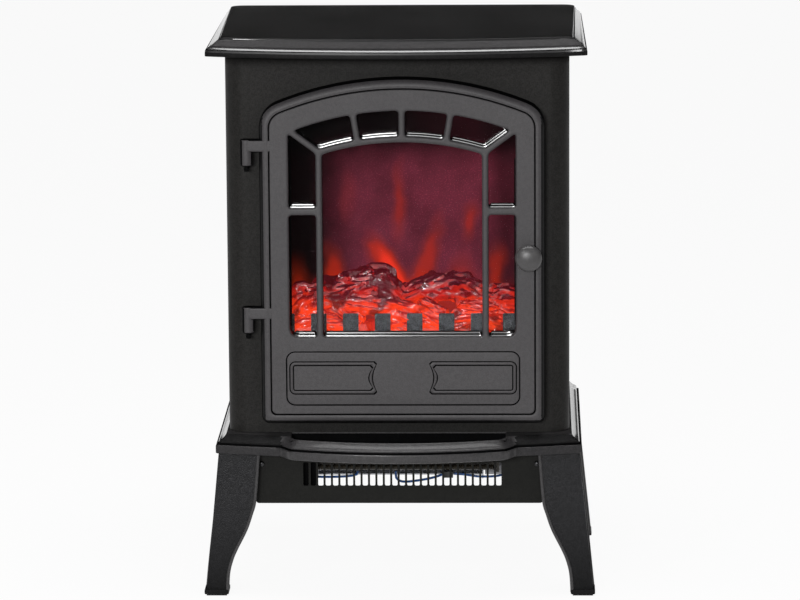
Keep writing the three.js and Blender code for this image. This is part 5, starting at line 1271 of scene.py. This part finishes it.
# bark: the rings between two points of a log's line and the sides of a ring, the scale of the noise
# along and around the log, and how much each kind of unevenness adds to its radius
bark = dict(rings=34, sides=72, lengthScale=62, girthScale=2.0, seedStep=7.3,
            twist=((9.3, -1.5, -8.0), (0, 0, 0), (-6.3, 0.7, 12.1)), plain=0.91, bulges=0.19, ridges=0.15,
            wrinkles=0.035, knots=0.8)
embers = dict(cells=(150, 26), depth=0.0355, lift=0.0004, height=0.004, lumps=0.010, grit=0.002)
bedLow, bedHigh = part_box("log_set")
hearthZ = bedLow.z
logDepth = frontY + 0.023  # the front edge of the bed


# a log's radius at one spot of its bark, as a share of the plain radius
def barkShare(spot):
    turned = Vector((spot.x * 0.6, spot.y * 1.3, spot.z * 1.3))
    turned += 1.1 * Vector([noise.noise(spot * 0.9 + Vector(shift)) for shift in bark["twist"]])
    bulges = noise.noise(spot * 0.45)
    ridges = 1 - abs(noise.noise(turned)) * 2.6
    wrinkles = 1 - abs(noise.noise(turned * 2.1 + Vector((9.1, 0, 0)))) * 2.4
    knots = max(0, noise.noise(spot * 1.15 + Vector((3.7, 5.1, 0))) - 0.16)
    return (bark["plain"] + bark["bulges"] * bulges + bark["ridges"] * ridges + bark["wrinkles"] * wrinkles
            + bark["knots"] * knots)


def addLog(bm, log):
    curve = smoothCurve([[value / 1000 for value in point] for point in log["line"]], bark["rings"])
    start = Vector((log["seed"] * bark["seedStep"], 0, 0))
    alongBy, aroundBy = bark["lengthScale"], bark["girthScale"]
    length = 0.0
    ring = None
    for i, point in enumerate(curve):
        before, after = curve[max(i - 1, 0)], curve[min(i + 1, len(curve) - 1)]
        run = Vector((after[0] - before[0], after[1] - before[1], after[2] - before[2]))
        length += run.length / 2
        run.normalize()
        across = run.cross(Vector((0, 1, 0))).normalized()
        over = across.cross(run)
        centre = Vector((point[0], logDepth + point[1], hearthZ + point[2]))
        places = []
        for k in range(bark["sides"]):
            a = 2 * math.pi * k / bark["sides"]
            spot = Vector((length * alongBy, math.cos(a) * aroundBy, math.sin(a) * aroundBy)) + start
            outward = across * math.cos(a) + over * math.sin(a)
            places.append(centre + outward * (point[3] * barkShare(spot)))
        ring = ringFrom(bm, places) if ring is None else growRing(bm, ring, places)
        if i == 0:
            addLogEnd(bm, ring, -run, log["seed"])
    addLogEnd(bm, ring, run, log["seed"] + 40)


# broken end: two shrinking rings pushed out unevenly
def addLogEnd(bm, ring, outward, seed):
    middle = sum((v.co for v in ring), Vector()) / len(ring)
    for shrink, push in ((0.82, 0.0022), (0.45, 0.0034)):
        places = []
        for vert in ring:
            ragged = noise.noise(vert.co * 420 + Vector((seed, 0, 0)))
            places.append(middle + (vert.co - middle) * shrink + outward * (push * (0.6 + ragged)))
        ring = growRing(bm, ring, places)
    closeRing(bm, ring)


# the uneven bed of embers under the logs, lowest at its edges
def addEmbers(bm):
    low, high = Vector((bedLow.x, logDepth)), Vector((bedHigh.x, logDepth + embers["depth"]))
    across, deep = embers["cells"]
    for vert in bmesh.ops.create_grid(bm, x_segments=across, y_segments=deep, size=0.5)["verts"]:
        u, v = vert.co.x + 0.5, vert.co.y + 0.5
        x = low.x + (high.x - low.x) * u
        y = low.y + (high.y - low.y) * v
        spot = Vector((x * 95, y * 95, 3.0))
        lumps = 1 - abs(noise.noise(spot)) * 1.6
        rise = embers["height"] + embers["lumps"] * lumps + embers["grit"] * noise.noise(spot * 3)
        edge = max(0, min(1, v * 9, (0.5 - vert.co.y) * 9, u * 40, (0.5 - vert.co.x) * 40))
        vert.co = Vector((x, y, hearthZ + embers["lift"] + edge * rise))


bm = bmesh.new()
for log in logs:
    part = bmesh.new()
    addLog(part, log)
    single = bpy.data.meshes.new("log")
    part.to_mesh(single)
    part.free()
    bm.from_mesh(single)
    bpy.data.meshes.remove(single)
addEmbers(bm)
addPiece("logSet", bm, "cabinet", [logResin], ("log_set",), 75)
print("logs ready")

# other pieces keep their CAD shape with softened edges
softPieces = [
    ("left_side_panel", "cabinet", "cabinet_paint", cabinetPaint, 0.0004),
    ("right_side_panel", "cabinet", "cabinet_paint", cabinetPaint, 0.0004),
    ("back_panel", "cabinet", "cabinet_paint", cabinetPaint, 0.0002),
    ("control_panel", "cabinet", "cabinet_paint", cabinetPaint, 0.0003),
    ("thermostat_knob", "thermostat_dial", "black_plastic", blackPlastic, 0.0003),
    ("rocker_flame", "flame_switch", "black_plastic", blackPlastic, 0.0004),
    ("rocker_low_heat", "low_heat_switch", "black_plastic", blackPlastic, 0.0004),
    ("rocker_high_heat", "high_heat_switch", "black_plastic", blackPlastic, 0.0004),
    # the hinge pins take black paint, so that they read as the shadow under the knuckles: painted shade
    ("hinge_pin_lower", "cabinet", "door_paint", blackPaintAndShade, 0.0003),
    ("hinge_pin_upper", "cabinet", "door_paint", blackPaintAndShade, 0.0003),
    ("cord_gland", "cabinet", "black_plastic", blackPlastic, 0.0003),
    ("catch_magnet", "cabinet", "black_plastic", blackPlastic, 0.0003),
]
for corner in corners:
    softPieces.append(("foot_pad_" + corner, "cabinet", "rubber", padRubber, 0.0002))
    softPieces.append(("leg_bolt_" + corner, "cabinet", "zinc_steel", zincSteel, 0.0003))
for entry in softPieces:
    softened(*entry)

# pieces that keep their CAD shape as it is
plainPieces = dict(
    door_glass=doorGlass, glass_retainer_left=blackPaintAndShade, glass_retainer_right=blackPaintAndShade, knob_screw=zincSteel,
    strike_plate=zincSteel, firebox_liner=fireboxBlack, flame_screen=screenFilm, ember_led_board=boardGreen,
    flame_box=reflectorMetal, flame_rotor=rotorFoil, rotor_bush=blackPlastic, rotor_motor=motorPaint,
    flame_led_board=boardGreen, switch_bank=blackPlastic, thermostat_body=blackPlastic,
    blower_housing=zincSteel, blower_wheel=reflectorMetal, blower_motor=motorPaint,
    thermal_cutout=blackPlastic, terminal_block=ivoryNylon, lead_element_left=leadBlue,
    lead_cutout=leadBlue, lead_motor=leadBlue)
for name, material in plainPieces.items():
    mesh = nodeObjects[name].data
    if not mesh.materials:
        mesh.materials.append(material)
    for place in range(len(mesh.materials)):
        mesh.materials[place] = material
print("fittings ready")


# floor, lamps and surroundings; sweep and sheen: where the floor darkens towards the viewer, as seen
# through the glass and in reflections
floor = dict(size=9, low=0.0002, sweep=(-1.1, -0.3), sheen=(-1.7, -0.5), darkest=0.012, lit=0.94)


def addFloor():
    bm = bmesh.new()
    bmesh.ops.create_grid(bm, x_segments=1, y_segments=1, size=floor["size"])
    mesh = bpy.data.meshes.new("floor")
    bm.to_mesh(mesh)
    bm.free()
    material, tree, shader, coords = newMaterial("pale floor")
    path = addNode(tree, "ShaderNodeLightPath").outputs
    feed(tree, shader, Base_Color=(0.8, 0.8, 0.8, 1), Roughness=0.9, Specular_IOR_Level=0.1)
    depth = partsOf(tree, coords)["Y"]
    sweep = spread(tree, depth, *floor["sweep"], floor["darkest"], 1.0)
    seen = mathNode(tree, "MAXIMUM", path["Is Camera Ray"], times(tree, path["Is Transmission Ray"], sweep))
    sheen = spread(tree, depth, *floor["sheen"], floor["darkest"], 1.0)
    shade = blendColours(tree, sheen, (0.0, 0.0, 0.0), (1.0, 1.0, 1.0))
    lit = addNode(tree, "ShaderNodeEmission")
    feed(tree, lit, Color=blendColours(tree, seen, shade, (1.0, 1.0, 1.0)))
    weight = mathNode(tree, "ADD", times(tree, seen, floor["lit"]), path["Is Glossy Ray"])
    mixSurface(tree, weight, shader.outputs["BSDF"], lit.outputs["Emission"])
    mesh.materials.append(material)
    plane = bpy.data.objects.new("floor", mesh)
    plane.location.z = -floor["low"]
    scene.collection.objects.link(plane)


def addLamp(name, spot, aim, size, power):
    data = bpy.data.lights.new(name, "AREA")
    data.shape = "RECTANGLE"
    data.size, data.size_y = size
    data.energy = power
    lamp = bpy.data.objects.new(name, data)
    lamp.location = spot
    lamp.rotation_euler = (Vector(aim) - Vector(spot)).to_track_quat("-Z", "Y").to_euler()
    scene.collection.objects.link(lamp)


# white to the camera and through glass, dim light otherwise, and dark in reflections over the horizon
def addWorld():
    world = bpy.data.worlds.new("surroundings")
    scene.world = world
    world.use_nodes = True
    tree = world.node_tree
    path = addNode(tree, "ShaderNodeLightPath").outputs
    direction = addNode(tree, "ShaderNodeTexCoord").outputs["Generated"]
    horizon = spread(tree, partsOf(tree, direction)["Z"], 0.01, 0.07, 1.0, 0.01)
    seen = mathNode(tree, "MAXIMUM", path["Is Camera Ray"], path["Is Transmission Ray"])
    white = mathNode(tree, "MAXIMUM", seen, times(tree, path["Is Glossy Ray"], horizon))
    dim = blendColours(tree, path["Is Glossy Ray"], (0.10, 0.10, 0.105), (0.0, 0.0, 0.0))
    tree.links.new(blendColours(tree, white, dim, (1.0, 1.0, 1.0)), tree.nodes["Background"].inputs["Color"])


addFloor()
addWorld()
addLamp("keyLeft", (-1.5, -2.6, 1.9), (0, 0, 0.3), (0.36, 0.36), 14)
addLamp("fillRight", (1.8, -2.6, 1.4), (0, 0, 0.28), (0.30, 0.42), 6)
addLamp("overhead", (0.0, -0.25, 2.1), (0, -0.1, 0.3), (1.5, 0.7), 30)
addLamp("besideCamera", (-0.76, -4.4, 1.16), (0, 0, 0.28), (1.25, 0.5), 108)
addLamp("behindCamera", (0.33, -4.75, 1.18), (0, 0, 0.28), (0.86, 0.5), 9)
